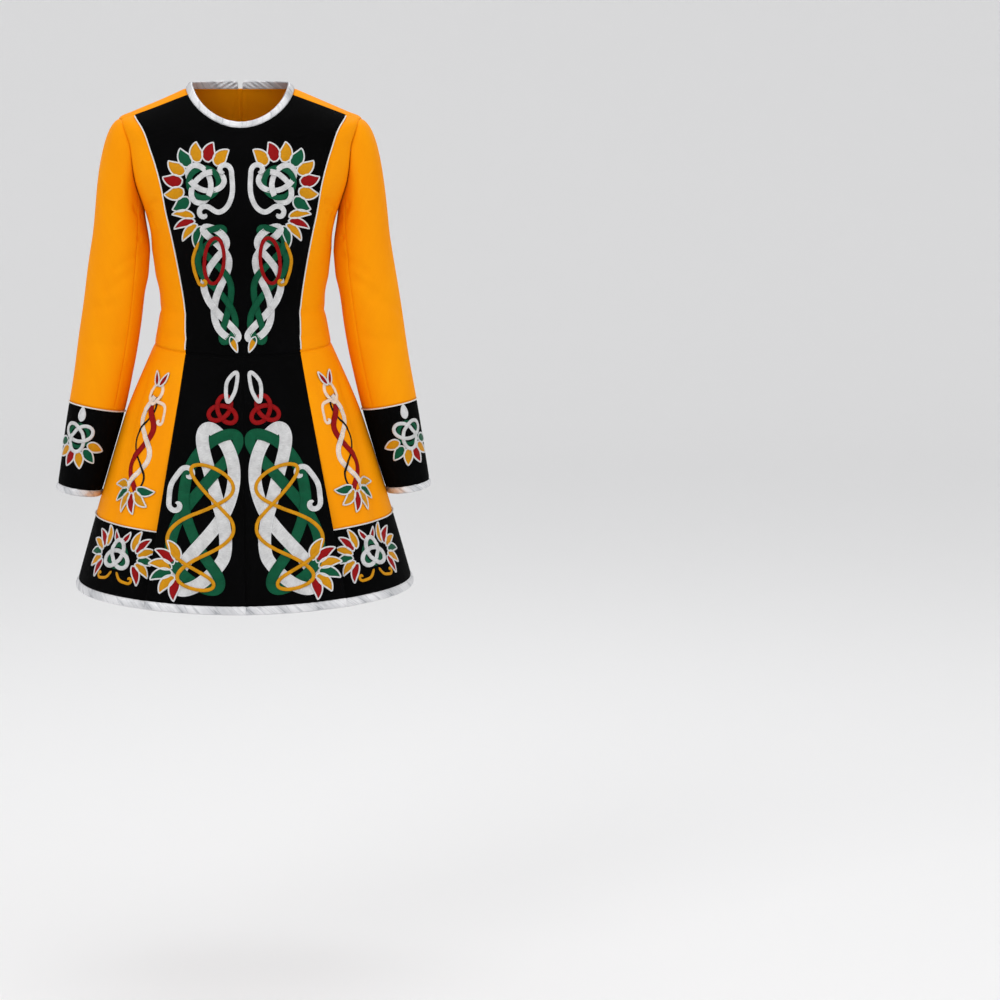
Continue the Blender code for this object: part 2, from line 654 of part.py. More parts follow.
def shawl_sides():
    """The left half's outline in four sides, each a dense line: hem, side, top and scoop."""
    share = np.linspace(0, 1, SHAWL_LINE_POINTS)[:, None]
    bottom = np.array(SHAWL_CENTRE_BOTTOM)
    corner = np.array(SHAWL_HEM_CORNER)
    shoulder = np.array(SHAWL_SHOULDER_CORNER)
    neck = np.array(SHAWL_NECK_CORNER)
    hem = bottom + (corner - bottom) * np.hstack((share, share ** SHAWL_HEM_POWER))
    side_z = corner[1] + (shoulder[1] - corner[1]) * share
    side = np.hstack((SHAWL_SIDE.at("x", side_z), side_z))
    top = shoulder + (neck - shoulder) * share
    first_pull, second_pull = np.array(SHAWL_SCOOP_PULLS)
    rest = 1 - share
    scoop = neck * rest ** 3 + first_pull * 3 * share * rest ** 2 + second_pull * 3 * share ** 2 * rest
    scoop = scoop + np.array(SHAWL_SCOOP_BOTTOM) * share ** 3
    return {"hem": hem, "side": side, "top": top, "scoop": scoop}


SHAWL_OUTLINE = shawl_sides()
TOP_SUPPORT = SHAWL_BINDING + SEAM_SUPPORT
BORDER_LINES = (SHAWL_BINDING + SEAM_SUPPORT, SHAWL_BORDER - SEAM_SUPPORT, SHAWL_BORDER)


@lru_cache(maxsize=None)
def edge_line(side, distance):
    """One side moved inwards over the shawl's surface, and made longer at its corner ends."""
    line = SHAWL_OUTLINE[side]
    nudge = 1e-4
    for _ in range(SHAWL_MOVES):
        place = shawl_point(line)
        along = np.gradient(place, axis=0)
        across = shawl_point(line - (nudge, 0)) - place
        upward = shawl_point(line - (0, nudge)) - place
        inward = np.cross(along, np.cross(upward, across))
        inward /= np.linalg.norm(inward, axis=-1, keepdims=True)
        line = (place + inward * distance / SHAWL_MOVES)[:, [0, 2]]
    if side == "hem":
        line[0, 0] = 0
    else:
        line[0] += SHAWL_EXTENSION * (line[0] - line[1])
    if side == "scoop":
        line[-1, 0] = 0
    else:
        line[-1] += SHAWL_EXTENSION * (line[-1] - line[-2])
    return line


def crossing(first, second):
    """Where two lines of points cross, as a place along each of them counted in points."""
    first_step = np.diff(first, axis=0)[:, None]
    second_step = np.diff(second, axis=0)[None]
    between = second[None, :-1] - first[:-1, None]
    scale = np.cross(first_step, second_step)
    on_first = np.cross(between, second_step) / scale
    on_second = np.cross(between, first_step) / scale
    hit = (on_first >= 0) & (on_first <= 1) & (on_second >= 0) & (on_second <= 1)
    row, column = np.argwhere(hit)[0]
    return row + on_first[row, column], column + on_second[row, column]


def stretch(line, start, stop, steps):
    """Evenly spaced points of a line between two places along it."""
    places = np.linspace(start, stop, steps + 1)
    counts = np.arange(len(line))
    return np.stack([np.interp(places, counts, line[:, axis]) for axis in (0, 1)], axis=-1)


def meeting(first, second):
    """The point where two lines cross, as an array of one point."""
    place = crossing(first, second)[0]
    return stretch(first, place, place, 0)


def lower_part(distance):
    """Hem and side at this distance from the edge, up to the support line of the top seam."""
    hem = edge_line("hem", distance)
    side = edge_line("side", distance)
    hem_stop, side_start = crossing(hem, side)
    side_stop = crossing(side, edge_line("top", TOP_SUPPORT))[0]
    hem_points = stretch(hem, 0, hem_stop, SHAWL_HEM_STEPS)
    return np.concatenate((hem_points, stretch(side, side_start, side_stop, SHAWL_SIDE_STEPS)[1:]))


def scoop_part(distance):
    """The scoop at this distance from the edge, from the support line of the top seam."""
    scoop = edge_line("scoop", distance)
    start = crossing(scoop, edge_line("top", TOP_SUPPORT))[0]
    return stretch(scoop, start, len(scoop) - 1, SHAWL_SCOOP_STEPS)


def top_middle(distance):
    """The top at this distance from the edge, between the support lines of the borders' seams."""
    top = edge_line("top", distance)
    start = crossing(top, edge_line("side", SHAWL_BORDER + SEAM_SUPPORT))[0]
    stop = crossing(top, edge_line("scoop", SHAWL_BORDER + SEAM_SUPPORT))[0]
    return stretch(top, start, stop, SHAWL_HEM_STEPS)


def build_shawl_binding():
    """The silver strip all round; along the top it has the points of every seam that ends there."""
    lines = []
    for distance in (0, TOP_SUPPORT - 2 * SEAM_SUPPORT, SHAWL_BINDING):
        top = edge_line("top", distance)
        from_side = [meeting(top, edge_line("side", place)) for place in (distance, *BORDER_LINES)]
        to_scoop = [meeting(top, edge_line("scoop", place)) for place in (*BORDER_LINES[::-1], distance)]
        line = [lower_part(distance), *from_side, top_middle(distance), *to_scoop, scoop_part(distance)]
        lines.append(np.concatenate(line))
    add_pair("shawl_binding", shawl_point(np.array(lines))[:, ::-1], "silver lame")


def build_shawl_borders():
    """Yellow strips inside the binding, along hem and side and along the scoop, not along the top."""
    top = edge_line("top", SHAWL_BINDING)
    side_lines = []
    scoop_lines = []
    for distance in (SHAWL_BINDING, *BORDER_LINES):
        side_end = meeting(edge_line("side", distance), top)
        scoop_start = meeting(edge_line("scoop", distance), top)
        side_lines.append(np.concatenate((lower_part(distance), side_end)))
        scoop_lines.append(np.concatenate((scoop_start, scoop_part(distance))))
    add_pair("shawl_border", shawl_point(np.array(side_lines))[:, ::-1], "yellow satin")
    add_pair("shawl_neck_border", shawl_point(np.array(scoop_lines))[:, ::-1], "yellow satin")


def coons_patch(bottom, top, left, right):
    """A grid of points blended between four edge lines, rows from bottom to top."""
    u = np.linspace(0, 1, len(bottom))[None, :, None]
    v = np.linspace(0, 1, len(left))[:, None, None]
    between_sides = left[:, None] * (1 - u) + right[:, None] * u
    between_ends = bottom[None] * (1 - v) + top[None] * v
    low = bottom[0] * (1 - u) + bottom[-1] * u
    high = top[0] * (1 - u) + top[-1] * u
    return between_sides + between_ends - (low * (1 - v) + high * v)


def build_shawl_centre():
    """The black middle: a patch with one narrow strip round it, next to the seams."""
    inner = SHAWL_BORDER + SEAM_SUPPORT
    lower = lower_part(inner)
    scoop = scoop_part(inner)
    top = top_middle(TOP_SUPPORT)
    centre_steps = SHAWL_SIDE_STEPS - SHAWL_SCOOP_STEPS
    centre_back = np.linspace(lower[0], scoop[-1], centre_steps + 1)
    left = np.concatenate((centre_back, scoop[-2::-1]))
    patch = coons_patch(lower[:SHAWL_HEM_STEPS + 1], top[::-1], left, lower[SHAWL_HEM_STEPS:])
    rows, columns = patch.shape[:2]
    index = np.arange(rows * columns).reshape(rows, columns)

    seam_top = edge_line("top", SHAWL_BINDING)
    side_corner = meeting(edge_line("side", SHAWL_BORDER), seam_top)
    scoop_corner = meeting(edge_line("scoop", SHAWL_BORDER), seam_top)
    seam = [lower_part(SHAWL_BORDER), side_corner, top_middle(SHAWL_BINDING), scoop_corner]
    seam = np.concatenate((*seam, scoop_part(SHAWL_BORDER)))
    side_corners = index[-1, [-1]], index[-1, [0]]
    edge = (index[0], index[1:, -1], side_corners[0], index[-1, ::-1], side_corners[1])
    edge = np.concatenate((*edge, index[-1:centre_steps - 1:-1, 0])).tolist()

    patch_points = shawl_point(patch)
    seam_points = pulled_in(shawl_point(seam), patch_points.reshape(-1, 3)[edge])
    patch_points[:centre_steps + 1, 0, 0] += SEAM_INSET
    seam_points[[0, -1], 0] += SEAM_INSET
    points = np.concatenate((patch_points.reshape(-1, 3), seam_points))
    faces = [face[::-1] for face in grid_faces(rows, columns)]
    first = rows * columns
    for place in range(len(edge) - 1):
        corner = (edge[place], edge[place + 1], first + place + 1, first + place)
        faces.append(tuple(dict.fromkeys(corner)))
    add_cloth("shawl_centre_left", points, faces, "black crepe")
    mirrored_faces = [face[::-1] for face in faces]
    add_cloth("shawl_centre_right", points * (-1, 1, 1), mirrored_faces, "black crepe")


def build_shawl():
    build_shawl_binding()
    build_shawl_borders()
    build_shawl_centre()


# ---- zip slider and pull tab


def pin_placement():
    """The pin's frame on the centre back: x across, y down the back, z out from the cloth."""
    neck = Vector(ring(BODICE, 1.0, math.pi))
    lower = Vector(ring(BODICE, 0.88, math.pi))
    down = (lower - neck).normalized()
    across = Vector((1, 0, 0))
    out = across.cross(down)
    place = neck + down * PIN_FROM_NECK + out * PIN_OVER_CLOTH
    frame = Matrix((across, down, out)).transposed().to_4x4()
    return Matrix.Translation((0.0, place.y, place.z)) @ frame


def box_mesh(size, centre):
    mesh = bmesh.new()
    bmesh.ops.create_cube(mesh, size=1, matrix=Matrix.Translation(centre) @ Matrix.Diagonal((*size, 1)))
    return mesh


def rod_mesh(radius, length, sides):
    """A cylinder along x through the origin."""
    mesh = bmesh.new()
    turn = Matrix.Rotation(math.pi / 2, 4, "Y")
    bmesh.ops.create_cone(mesh, cap_ends=True, segments=sides, radius1=radius, radius2=radius,
                          depth=length, matrix=turn)
    return mesh


def add_solid(name, shape, material, collection):
    mesh = bpy.data.meshes.new(name)
    shape.to_mesh(mesh)
    shape.free()
    item = bpy.data.objects.new(name, mesh)
    mesh.materials.append(MATERIALS[material])
    collection.objects.link(item)
    if collection == CUTTERS:
        item.hide_render = True
        item.display_type = "WIRE"
    return item


def boolean(item, tool, operation):
    modifier = item.modifiers.new(tool.name, "BOOLEAN")
    modifier.operation = operation
    modifier.object = tool
    modifier.solver = "EXACT"


def build_slider(frame):
    """A body on the zip with two lugs and the pin that the tab hangs on."""
    slider = add_solid("zip_slider", box_mesh(SLIDER_SIZE, SLIDER_CENTRE), "yellow zip", PARTS)
    slider.matrix_world = frame
    for side in (-1, 1):
        centre = (side * LUG_CENTRE[0], LUG_CENTRE[1], LUG_CENTRE[2])
        lug = add_solid("slider_lug", box_mesh(LUG_SIZE, centre), "yellow zip", CUTTERS)
        lug.matrix_world = frame
        boolean(slider, lug, "UNION")
    pin = add_solid("slider_pin", rod_mesh(PIN_RADIUS, 2 * LUG_CENTRE[0], 12), "yellow zip", CUTTERS)
    pin.matrix_world = frame
    boolean(slider, pin, "UNION")


def tab_plate():
    """A drop outline, narrow at the pin and round at its end, extruded to the tab's thickness."""
    curve = bpy.data.curves.new("tab_outline", "CURVE")
    curve.dimensions = "2D"
    curve.fill_mode = "BOTH"
    curve.extrude = TAB_THICKNESS / 2
    end_centre = TAB_LENGTH - TAB_END_RADIUS
    neck = KNUCKLE_WIDTH / 2
    lean = math.asin((TAB_END_RADIUS - neck) / end_centre)
    turns = np.linspace(-lean, math.pi + lean, 13)
    outline = [(-neck, 0.0), (neck, 0.0)]
    outline += [(TAB_END_RADIUS * math.cos(a), end_centre + TAB_END_RADIUS * math.sin(a)) for a in turns]
    spline = curve.splines.new("POLY")
    spline.points.add(len(outline) - 1)
    for point, (x, y) in zip(spline.points, outline):
        point.co = (x, y, 0, 1)
    spline.use_cyclic_u = True
    flat = bpy.data.objects.new("tab_outline", curve)
    CUTTERS.objects.link(flat)
    mesh = bpy.data.meshes.new_from_object(flat.evaluated_get(bpy.context.evaluated_depsgraph_get()))
    bpy.data.objects.remove(flat)
    shape = bmesh.new()
    shape.from_mesh(mesh)
    bmesh.ops.remove_doubles(shape, verts=shape.verts, dist=1e-6)
    bmesh.ops.rotate(shape, verts=shape.verts, matrix=Matrix.Rotation(-TAB_TILT, 3, "X"))
    return shape


def build_pull_tab(frame):
    """The tab's knuckle turns on the slider's pin; its plate lies down the back."""
    tab = add_solid("zip_pull_tab", tab_plate(), "gold enamel", PARTS)
    tab.matrix_world = frame
    knuckle = add_solid("tab_knuckle", rod_mesh(KNUCKLE_RADIUS, KNUCKLE_WIDTH, 16), "gold enamel", CUTTERS)
    knuckle.matrix_world = frame
    boolean(tab, knuckle, "UNION")
    bore = add_solid("tab_bore", rod_mesh(KNUCKLE_BORE, 3 * KNUCKLE_WIDTH, 12), "gold enamel", CUTTERS)
    bore.matrix_world = frame
    boolean(tab, bore, "DIFFERENCE")


build_bodice_front()
build_bodice_side_fronts()
build_bodice_backs()
build_neck_binding()
build_bodice_piping()
build_sleeves()
build_cuffs()
build_skirt()
build_shawl()
PIN_FRAME = pin_placement()
build_slider(PIN_FRAME)
build_pull_tab(PIN_FRAME)
print("pin axis at", tuple(round(value, 5) for value in PIN_FRAME.translation))
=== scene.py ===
import math

import bmesh
import bpy
import numpy as np
from mathutils import Matrix, Vector


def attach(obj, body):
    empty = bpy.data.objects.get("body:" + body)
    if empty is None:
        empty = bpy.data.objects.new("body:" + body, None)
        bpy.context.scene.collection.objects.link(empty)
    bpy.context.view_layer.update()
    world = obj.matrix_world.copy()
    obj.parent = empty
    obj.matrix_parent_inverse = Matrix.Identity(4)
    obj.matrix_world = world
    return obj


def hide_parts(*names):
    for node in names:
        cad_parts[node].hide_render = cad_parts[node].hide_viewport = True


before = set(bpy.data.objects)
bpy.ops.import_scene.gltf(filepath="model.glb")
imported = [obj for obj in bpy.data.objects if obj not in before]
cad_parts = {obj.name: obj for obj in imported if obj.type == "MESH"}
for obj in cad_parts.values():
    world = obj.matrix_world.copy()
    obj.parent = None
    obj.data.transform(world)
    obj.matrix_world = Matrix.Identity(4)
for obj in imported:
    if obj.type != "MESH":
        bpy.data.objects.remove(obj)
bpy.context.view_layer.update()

# A stage dress for Irish dancing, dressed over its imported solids. Metres, front to -Y, wearer's left at +X.
# The garment's own sizes: every table is read along its first column.

bodiceRows = """
    rise  half_width front  back   power z_side  z_front z_back
    0.000 0.1400     0.1120 0.0960 2.30  -0.4030 -0.416  -0.408
    0.136 0.1305     0.1010 0.0830 2.30  -0.3390 -0.345  -0.339
    0.252 0.1340     0.1110 0.0880 2.35  -0.2850 -0.290  -0.280
    0.380 0.1435     0.1270 0.0970 2.45  -0.2250 -0.230  -0.215
    0.454 0.1530     0.1265 0.1020 2.55  -0.1900 -0.198  -0.176
    0.560 0.1720     0.1190 0.1050 2.75  -0.1400 -0.158  -0.125
    0.678 0.1845     0.1070 0.1010 2.90  -0.0850 -0.121  -0.080
    0.763 0.1890     0.0985 0.0900 2.95  -0.0450 -0.098  -0.050
    0.800 0.1715     0.0957 0.0855 2.90  -0.0375 -0.091  -0.041
    0.880 0.1370     0.0900 0.0755 2.60  -0.0225 -0.078  -0.024
    1.000 0.0850     0.0830 0.0620 2.25   0.0000 -0.061  -0.001
"""
princessRows = """
    rise  x
    0.000 0.0900
    0.136 0.0905
    0.252 0.0980
    0.380 0.1090
    0.454 0.1165
    0.560 0.1247
    0.678 0.1390
    0.763 0.1540
    0.806 0.1662
"""
neckRows = """
    rise half_width front  back   power z_side z_front z_back
    0.0  0.0850     0.0830 0.0620 2.25  0.0000 -0.0610 -0.0010
    0.5  0.0808     0.0814 0.0607 2.22  0.0047 -0.0567  0.0050
    1.0  0.0770     0.0800 0.0600 2.20  0.0095 -0.0525  0.0110
"""
sleeveRows = """
    down   x      y     z       half_width half_depth tilt
    0.0000 0.1925 0.000 -0.2400 0.0440     0.0500     8.0
    0.1500 0.1995 0.002 -0.3000 0.0465     0.0510     8.0
    0.3250 0.2090 0.004 -0.3700 0.0475     0.0520     9.0
    0.5000 0.2205 0.005 -0.4400 0.0465     0.0520    10.0
    0.6575 0.2332 0.004 -0.5030 0.0446     0.0520    10.5
    0.8250 0.2484 0.002 -0.5700 0.0402     0.0520    10.5
    1.0000 0.2644 0.000 -0.6400 0.0349     0.0520     9.5
"""
skirtRows = """
    down  half_width front  back   power z_side  z_front z_back  front_edge back_edge
    0.000 0.1400     0.1120 0.0960 2.30  -0.4030 -0.416  -0.408  0.0900     0.0930
    0.085 0.1550     0.1230 0.1130 2.28  -0.4360 -0.449  -0.441  0.0955     0.0987
    0.165 0.1690     0.1330 0.1290 2.26  -0.4670 -0.480  -0.472  0.1008     0.1040
    0.250 0.1825     0.1420 0.1420 2.25  -0.4995 -0.513  -0.506  0.1063     0.1097
    0.415 0.2035     0.1570 0.1600 2.25  -0.5630 -0.578  -0.573  0.1170     0.1207
    0.665 0.2328     0.1800 0.1830 2.28  -0.6600 -0.677  -0.674  0.1335     0.1375
    1.000 0.2700     0.2060 0.2090 2.35  -0.7890 -0.809  -0.809  0.1555     0.1600
"""
shawlRows = """
    path  half_width back   power z_side z_back
    0.000 0.2560     0.2180 2.35  -0.720 -0.735
    0.083 0.2350     0.2010 2.35  -0.640 -0.655
    0.167 0.2100     0.1750 2.50  -0.560 -0.570
    0.236 0.1850     0.1500 2.70  -0.495 -0.505
    0.295 0.1640     0.1260 2.80  -0.440 -0.447
    0.337 0.1530     0.1120 2.80  -0.400 -0.405
    0.398 0.1460     0.1000 2.80  -0.339 -0.339
    0.452 0.1460     0.1010 2.70  -0.285 -0.280
    0.512 0.1510     0.1060 2.65  -0.225 -0.215
    0.548 0.1600     0.1100 2.65  -0.190 -0.176
    0.601 0.1770     0.1115 2.80  -0.140 -0.125
    0.657 0.1905     0.1085 2.90  -0.085 -0.080
    0.700 0.1960     0.0985 2.95  -0.042 -0.047
    0.721 0.1775     0.0930 2.90  -0.032 -0.036
    0.758 0.1435     0.0820 2.60  -0.016 -0.018
    0.814 0.0900     0.0675 2.25   0.006  0.005
"""
shawlSideRows = """
    height x
    -0.630 0.2000
    -0.546 0.1700
    -0.487 0.1505
    -0.426 0.1320
    -0.395 0.1243
    -0.364 0.1200
    -0.333 0.1195
    -0.302 0.1213
    -0.239 0.1281
    -0.176 0.1365
    -0.113 0.1465
    -0.072 0.1560
    -0.040 0.1630
"""


class Rows:
    # rows of named columns, read between the rows by a cubic Hermite curve with parabola slopes
    def __init__(self, text):
        lines = [line.split() for line in text.strip().splitlines()]
        values = np.array(lines[1:], dtype=float).T
        self.columns = dict(zip(lines[0], values))
        self.key = values[0]
        self.last = float(values[0][-1])

    def at(self, name, position):
        position = np.asarray(position, dtype=float)
        values = self.columns[name]
        step = np.diff(self.key)
        chord = np.diff(values) / step
        inner = (step[1:] * chord[:-1] + step[:-1] * chord[1:]) / (step[1:] + step[:-1])
        slope = np.concatenate(([chord[0]], inner, [chord[-1]]))
        span = np.clip(np.searchsorted(self.key, position, side="right") - 1, 0, len(step) - 1)
        share = (position - self.key[span]) / step[span]
        rise = share * share * (3 - 2 * share)
        leave = share * (1 - share) ** 2 * step[span] * slope[span]
        arrive = share * share * (share - 1) * step[span] * slope[span + 1]
        return values[span] * (1 - rise) + values[span + 1] * rise + leave + arrive


bodice, princess, neck = Rows(bodiceRows), Rows(princessRows), Rows(neckRows)
sleeve, skirt = Rows(sleeveRows), Rows(skirtRows)
shawl, shawlSide = Rows(shawlRows), Rows(shawlSideRows)
bothSides = ((1, "left"), (-1, "right"))  # the sign of x and the end of the names


def softStep(value):  # 0 below 0, 1 above 1, 3v^2 - 2v^3 between
    value = np.clip(value, 0, 1)
    return value * value * (3 - 2 * value)


def unit(vectors):
    return vectors / np.maximum(np.linalg.norm(vectors, axis=-1, keepdims=True), 1e-12)


def fullTurn(count):
    return np.linspace(0, 2 * math.pi, count, endpoint=False)


def readLine(line, places, at):  # a line whose points stand at rising places, read at other places
    return np.stack([np.interp(at, places, column) for column in line.T], axis=-1)


# surfaces of the body of the dress

def ring(table, path, angle):
    # a superellipse in plan at each height; the angle is 0 in front and pi/2 at the wearer's left
    forward = np.cos(angle) > 0
    hasFront = "front" in table.columns
    frontDepth = table.at("front" if hasFront else "back", path)
    frontHeight = table.at("z_front" if hasFront else "z_back", path)
    depth = np.where(forward, frontDepth, table.at("back", path))
    farHeight = np.where(forward, frontHeight, table.at("z_back", path))
    sideHeight = table.at("z_side", path)
    power = table.at("power", path)
    across = np.abs(np.sin(angle) / table.at("half_width", path)) ** power
    through = np.abs(np.cos(angle) / depth) ** power
    radius = (across + through) ** (-1 / power)
    height = sideHeight + (farHeight - sideHeight) * np.abs(np.cos(angle)) ** 1.5
    return np.stack(np.broadcast_arrays(radius * np.sin(angle), -radius * np.cos(angle), height), axis=-1)


def ringNormal(table, path, angle):  # cross product of two small steps, turned outwards
    step = 1e-4
    path, angle = np.broadcast_arrays(np.asarray(path, float), np.asarray(angle, float))
    place = ring(table, path, angle)
    normal = np.cross(ring(table, path, angle + step) - place, ring(table, path + step, angle) - place)
    outward = np.stack([np.sin(angle), -np.cos(angle), np.zeros_like(angle)], axis=-1)
    return unit(normal * np.sign(np.sum(normal * outward, axis=-1, keepdims=True)))


def onRing(table, path, angle):
    return ring(table, path, angle), ringNormal(table, path, angle)


def angleAtX(table, path, x, behind=False):  # the ring angle at which the ring is x from the middle
    power = table.at("power", path)
    share = np.clip(np.abs(x) / table.at("half_width", path), 0, 1) ** power
    depth = table.at("back" if behind else "front", path) * (1 - share) ** (1 / power)
    angle = np.arctan2(np.abs(x), depth)
    return np.where(x < 0, -1, 1) * (math.pi - angle if behind else angle)


def pathAt(table, height, angleAt):  # halves the search for the ring that has this height at angleAt(path)
    low, high = np.zeros_like(height), np.full_like(height, table.last)
    falling = ring(table, high, angleAt(high))[..., 2] < ring(table, low, angleAt(low))[..., 2]
    for _ in range(30):
        middle = (low + high) / 2
        below = (ring(table, middle, angleAt(middle))[..., 2] < height) ^ falling
        low, high = np.where(below, middle, low), np.where(below, high, middle)
    return low


seamSizes = {
    "underarmRise": 0.454, "shoulderRise": 0.763, "princessTop": 0.806,
    "shoulderTip": math.radians(80), "shoulderNeck": math.radians(73), "side": math.radians(90),
    "reachFront": math.radians(13), "reachBack": math.radians(21.5),
    "overlap": 0.0004, "dip": 0.0007, "dipReach": 0.0022,
}


def shoulderSeam(rise):
    share = (rise - seamSizes["shoulderRise"]) / (1 - seamSizes["shoulderRise"])
    return seamSizes["shoulderTip"] + (seamSizes["shoulderNeck"] - seamSizes["shoulderTip"]) * share


def frontEdge(rise):  # the princess seam and, above it, the shoulder seam
    edge = angleAtX(bodice, rise, princess.at("x", np.minimum(rise, seamSizes["princessTop"])))
    return np.where(rise < seamSizes["princessTop"] - 1e-6, edge, shoulderSeam(rise))


def armhole(around):  # an ellipse of rise and angle; 0 at the shoulder tip, pi/2 at the front
    low, high = seamSizes["underarmRise"], seamSizes["shoulderRise"]
    rise = (low + high) / 2 + (high - low) / 2 * np.cos(around)
    centre = seamSizes["side"] + (seamSizes["shoulderTip"] - seamSizes["side"]) * (rise - low) / (high - low)
    reach = np.where(np.sin(around) > 0, seamSizes["reachFront"], seamSizes["reachBack"])
    return rise, centre - reach * np.sin(around)


def sleeveRing(down, around):  # tilted ellipses down the left arm; 0 outwards, pi/2 at the front
    tilt = np.radians(sleeve.at("tilt", down))
    out = sleeve.at("half_width", down) * np.cos(around)
    x = sleeve.at("x", down) + out * np.cos(tilt)
    y = sleeve.at("y", down) - sleeve.at("half_depth", down) * np.sin(around)
    return np.stack(np.broadcast_arrays(x, y, sleeve.at("z", down) + out * np.sin(tilt)), axis=-1)


capSizes = {
    # directions and lengths of the two ends of every line down the cap, from constants and factors of
    # cos(around); leaveY is a factor of sin(around), leaveZ's second one counts outwards only
    "leaveX": (0.36, 0.43, 0.12), "leaveY": -0.10, "leaveZ": (-0.93, 0.54), "leaveLength": (0.080, 0.040),
    "arrive": (0.13, 0.0, -0.99), "arriveLength": (0.124, 0.066), "seamPoints": 73,
}


def sleeveCap(share, around):  # cubic Hermite from the armhole to the sleeve's first ring
    sizes = capSizes
    turns = np.linspace(-math.pi, math.pi, sizes["seamPoints"])
    seam = ring(bodice, *armhole(turns))
    wrapped = (around + math.pi) % (2 * math.pi) - math.pi
    start = readLine(seam, turns, wrapped)
    end = sleeveRing(0.0, around)
    out = np.cos(around)
    a, b, c = sizes["leaveX"]
    d, e = sizes["leaveZ"]
    leave = np.stack([a + b * out + c * out ** 2, sizes["leaveY"] * np.sin(around),
                      d + e * np.maximum(out, 0)], axis=-1)
    a, b = sizes["leaveLength"]
    leave = leave * (a + b * out)[..., None]
    a, b = sizes["arriveLength"]
    arrive = np.array(sizes["arrive"]) * (a + b * out)[..., None]
    share = np.asarray(share, float)[..., None]
    rise = softStep(share)
    curve = start * (1 - rise) + end * rise + leave * share * (1 - share) ** 2
    return curve + arrive * share ** 2 * (share - 1)


pleatSizes = {"start": 0.18, "lift": 0.006, "tuck": 0.009, "fall": 0.060, "under": 0.024, "underStart": 0.48,
              "underBlend": 0.40, "groove": 0.003, "grooveShare": 0.14, "bandTop": 0.70, "bindingTop": 0.971,
              "columns": 48, "skirtLines": 80, "bandLines": 36, "hemColumns": 100}


def pleatRamp(down):
    return softStep((down - pleatSizes["start"]) / (1 - pleatSizes["start"]))


def panelEdge(down, edgeName, behind):  # the ring angle of the edge between the centre and the side panel
    return angleAtX(skirt, down, skirt.at(edgeName, down), behind)


def skirtRadius(down, angle):
    return np.linalg.norm(ring(skirt, down, angle)[..., :2], axis=-1)


def centrePanel(down, share, edgeName, behind):
    # front or back panel: its angle and lift, with share 0 at its centre seam
    edge = panelEdge(down, edgeName, behind)
    centre = math.pi if behind else 0.0
    groove = pleatSizes["groove"] * np.clip(1 - share / pleatSizes["grooveShare"], 0, 1) ** 2
    return centre + (edge - centre) * share, pleatRamp(down) * (pleatSizes["lift"] * share ** 3 - groove)


def sideFold(down, angle, edgeName, behind):  # the side panel sinks as it passes under its neighbour's edge
    edge = panelEdge(down, edgeName, behind)
    away = (angle - edge) * (-1.0 if behind else 1.0) * skirtRadius(down, edge)
    return -pleatRamp(down) * pleatSizes["tuck"] * (1 - softStep(away / pleatSizes["fall"]))


def sidePanel(down, share, edgeName, behind):  # side panel: share 0 at its hidden edge, 1 at the side seam
    edge = panelEdge(down, edgeName, behind)
    under = pleatSizes["under"] * softStep((down - pleatSizes["underStart"]) / pleatSizes["underBlend"])
    start = edge + under / skirtRadius(down, edge) * (1.0 if behind else -1.0)
    angle = start + (seamSizes["side"] - start) * share
    return angle, sideFold(down, angle, edgeName, behind)


# soft creases in millimetres: each is a trough along a straight line through the cloth, or a ridge below 0

creaseRows = """
    x0   y0   z0    x1   y1   z1    width depth
    120  -60  -215  150  -40  -235  5     1.6
    -118 -64  -222  -150 -44  -236  6     1.3
    128  -70  -190  150  -30  -205  4     0.9
    -130 -66  -188  -150 -30  -200  4     1.1
    60   -95  -395  120  -60  -385  5     0.9
    -70  -92  -392  -122 -55  -388  6     1.1
    95   -85  -350  132  -20  -345  7     1.2
    -98  -82  -352  -130 -16  -340  7     1.0
    110  60   -340  134  -10  -352  7     1.1
    -112 58   -345  -134 -12  -350  6     1.0
    205  -45  -330  250  -20  -352  8     1.5
    -203 -46  -338  -250 -16  -350  8     1.3
    178  -38  -300  212  -50  -322  7     1.4
    -178 -40  -292  -214 -50  -318  8     1.2
    172  -20  -262  196  -50  -290  6     1.5
    -172 -22  -256  -198 -50  -282  6     1.3
    190  -48  -392  250  -30  -400  9     1.0
    -190 -50  -404  -246 -30  -398  9     0.9
    168  30   -240  200  50   -300  7     1.5
    -168 32   -236  -202 52   -292  7     1.4
    190  50   -330  240  40   -352  8     1.2
    -190 50   -322  -240 42   -346  8     1.3
    186  48   -400  238  46   -420  9     1.1
    -186 50   -392  -240 46   -408  9     1.0
    130  -110 -450  160  -135 -590  11    1.3
    -128 -108 -455  -158 -138 -600  12    1.5
    165  -60  -450  205  -95  -700  14    2.4
    -166 -56  -455  -204 -98  -690  14    2.2
    170  30   -450  225  60   -720  15    2.6
    -170 26   -452  -222 62   -715  15    2.4
    140  90   -450  185  150  -760  14    2.0
    -142 88   -455  -184 148  -755  14    2.2
    60   -125 -470  95   -180 -780  16    0.9
    -58  -126 -470  -92  -182 -785  16    1.0
    90   170  -640  105  205  -800  12    2.2
    -88  170  -640  -108 204  -800  12    2.0
    40   178  -650  45   212  -805  11    1.6
    -42  178  -650  -46  212  -805  11    1.8
    151  -4   -262  147  -6   -292  24    -2.5
    -151 -4   -260  -147 -6   -290  24    -2.6
    153  -57  -184  133  -87  -176  5     1.5
    -152 -57  -186  -131 -87  -175  5     1.6
    151  -50  -192  143  -60  -216  6     1.4
    -151 -50  -192  -144 -60  -214  6     1.5
    -20  84   -340  -100 80   -350  9     0.9
    24   84   -352  102  78   -345  9     1.0
    40   98   -300  105  92   -318  8     0.8
    -36  98   -312  -104 92   -305  8     0.9
"""
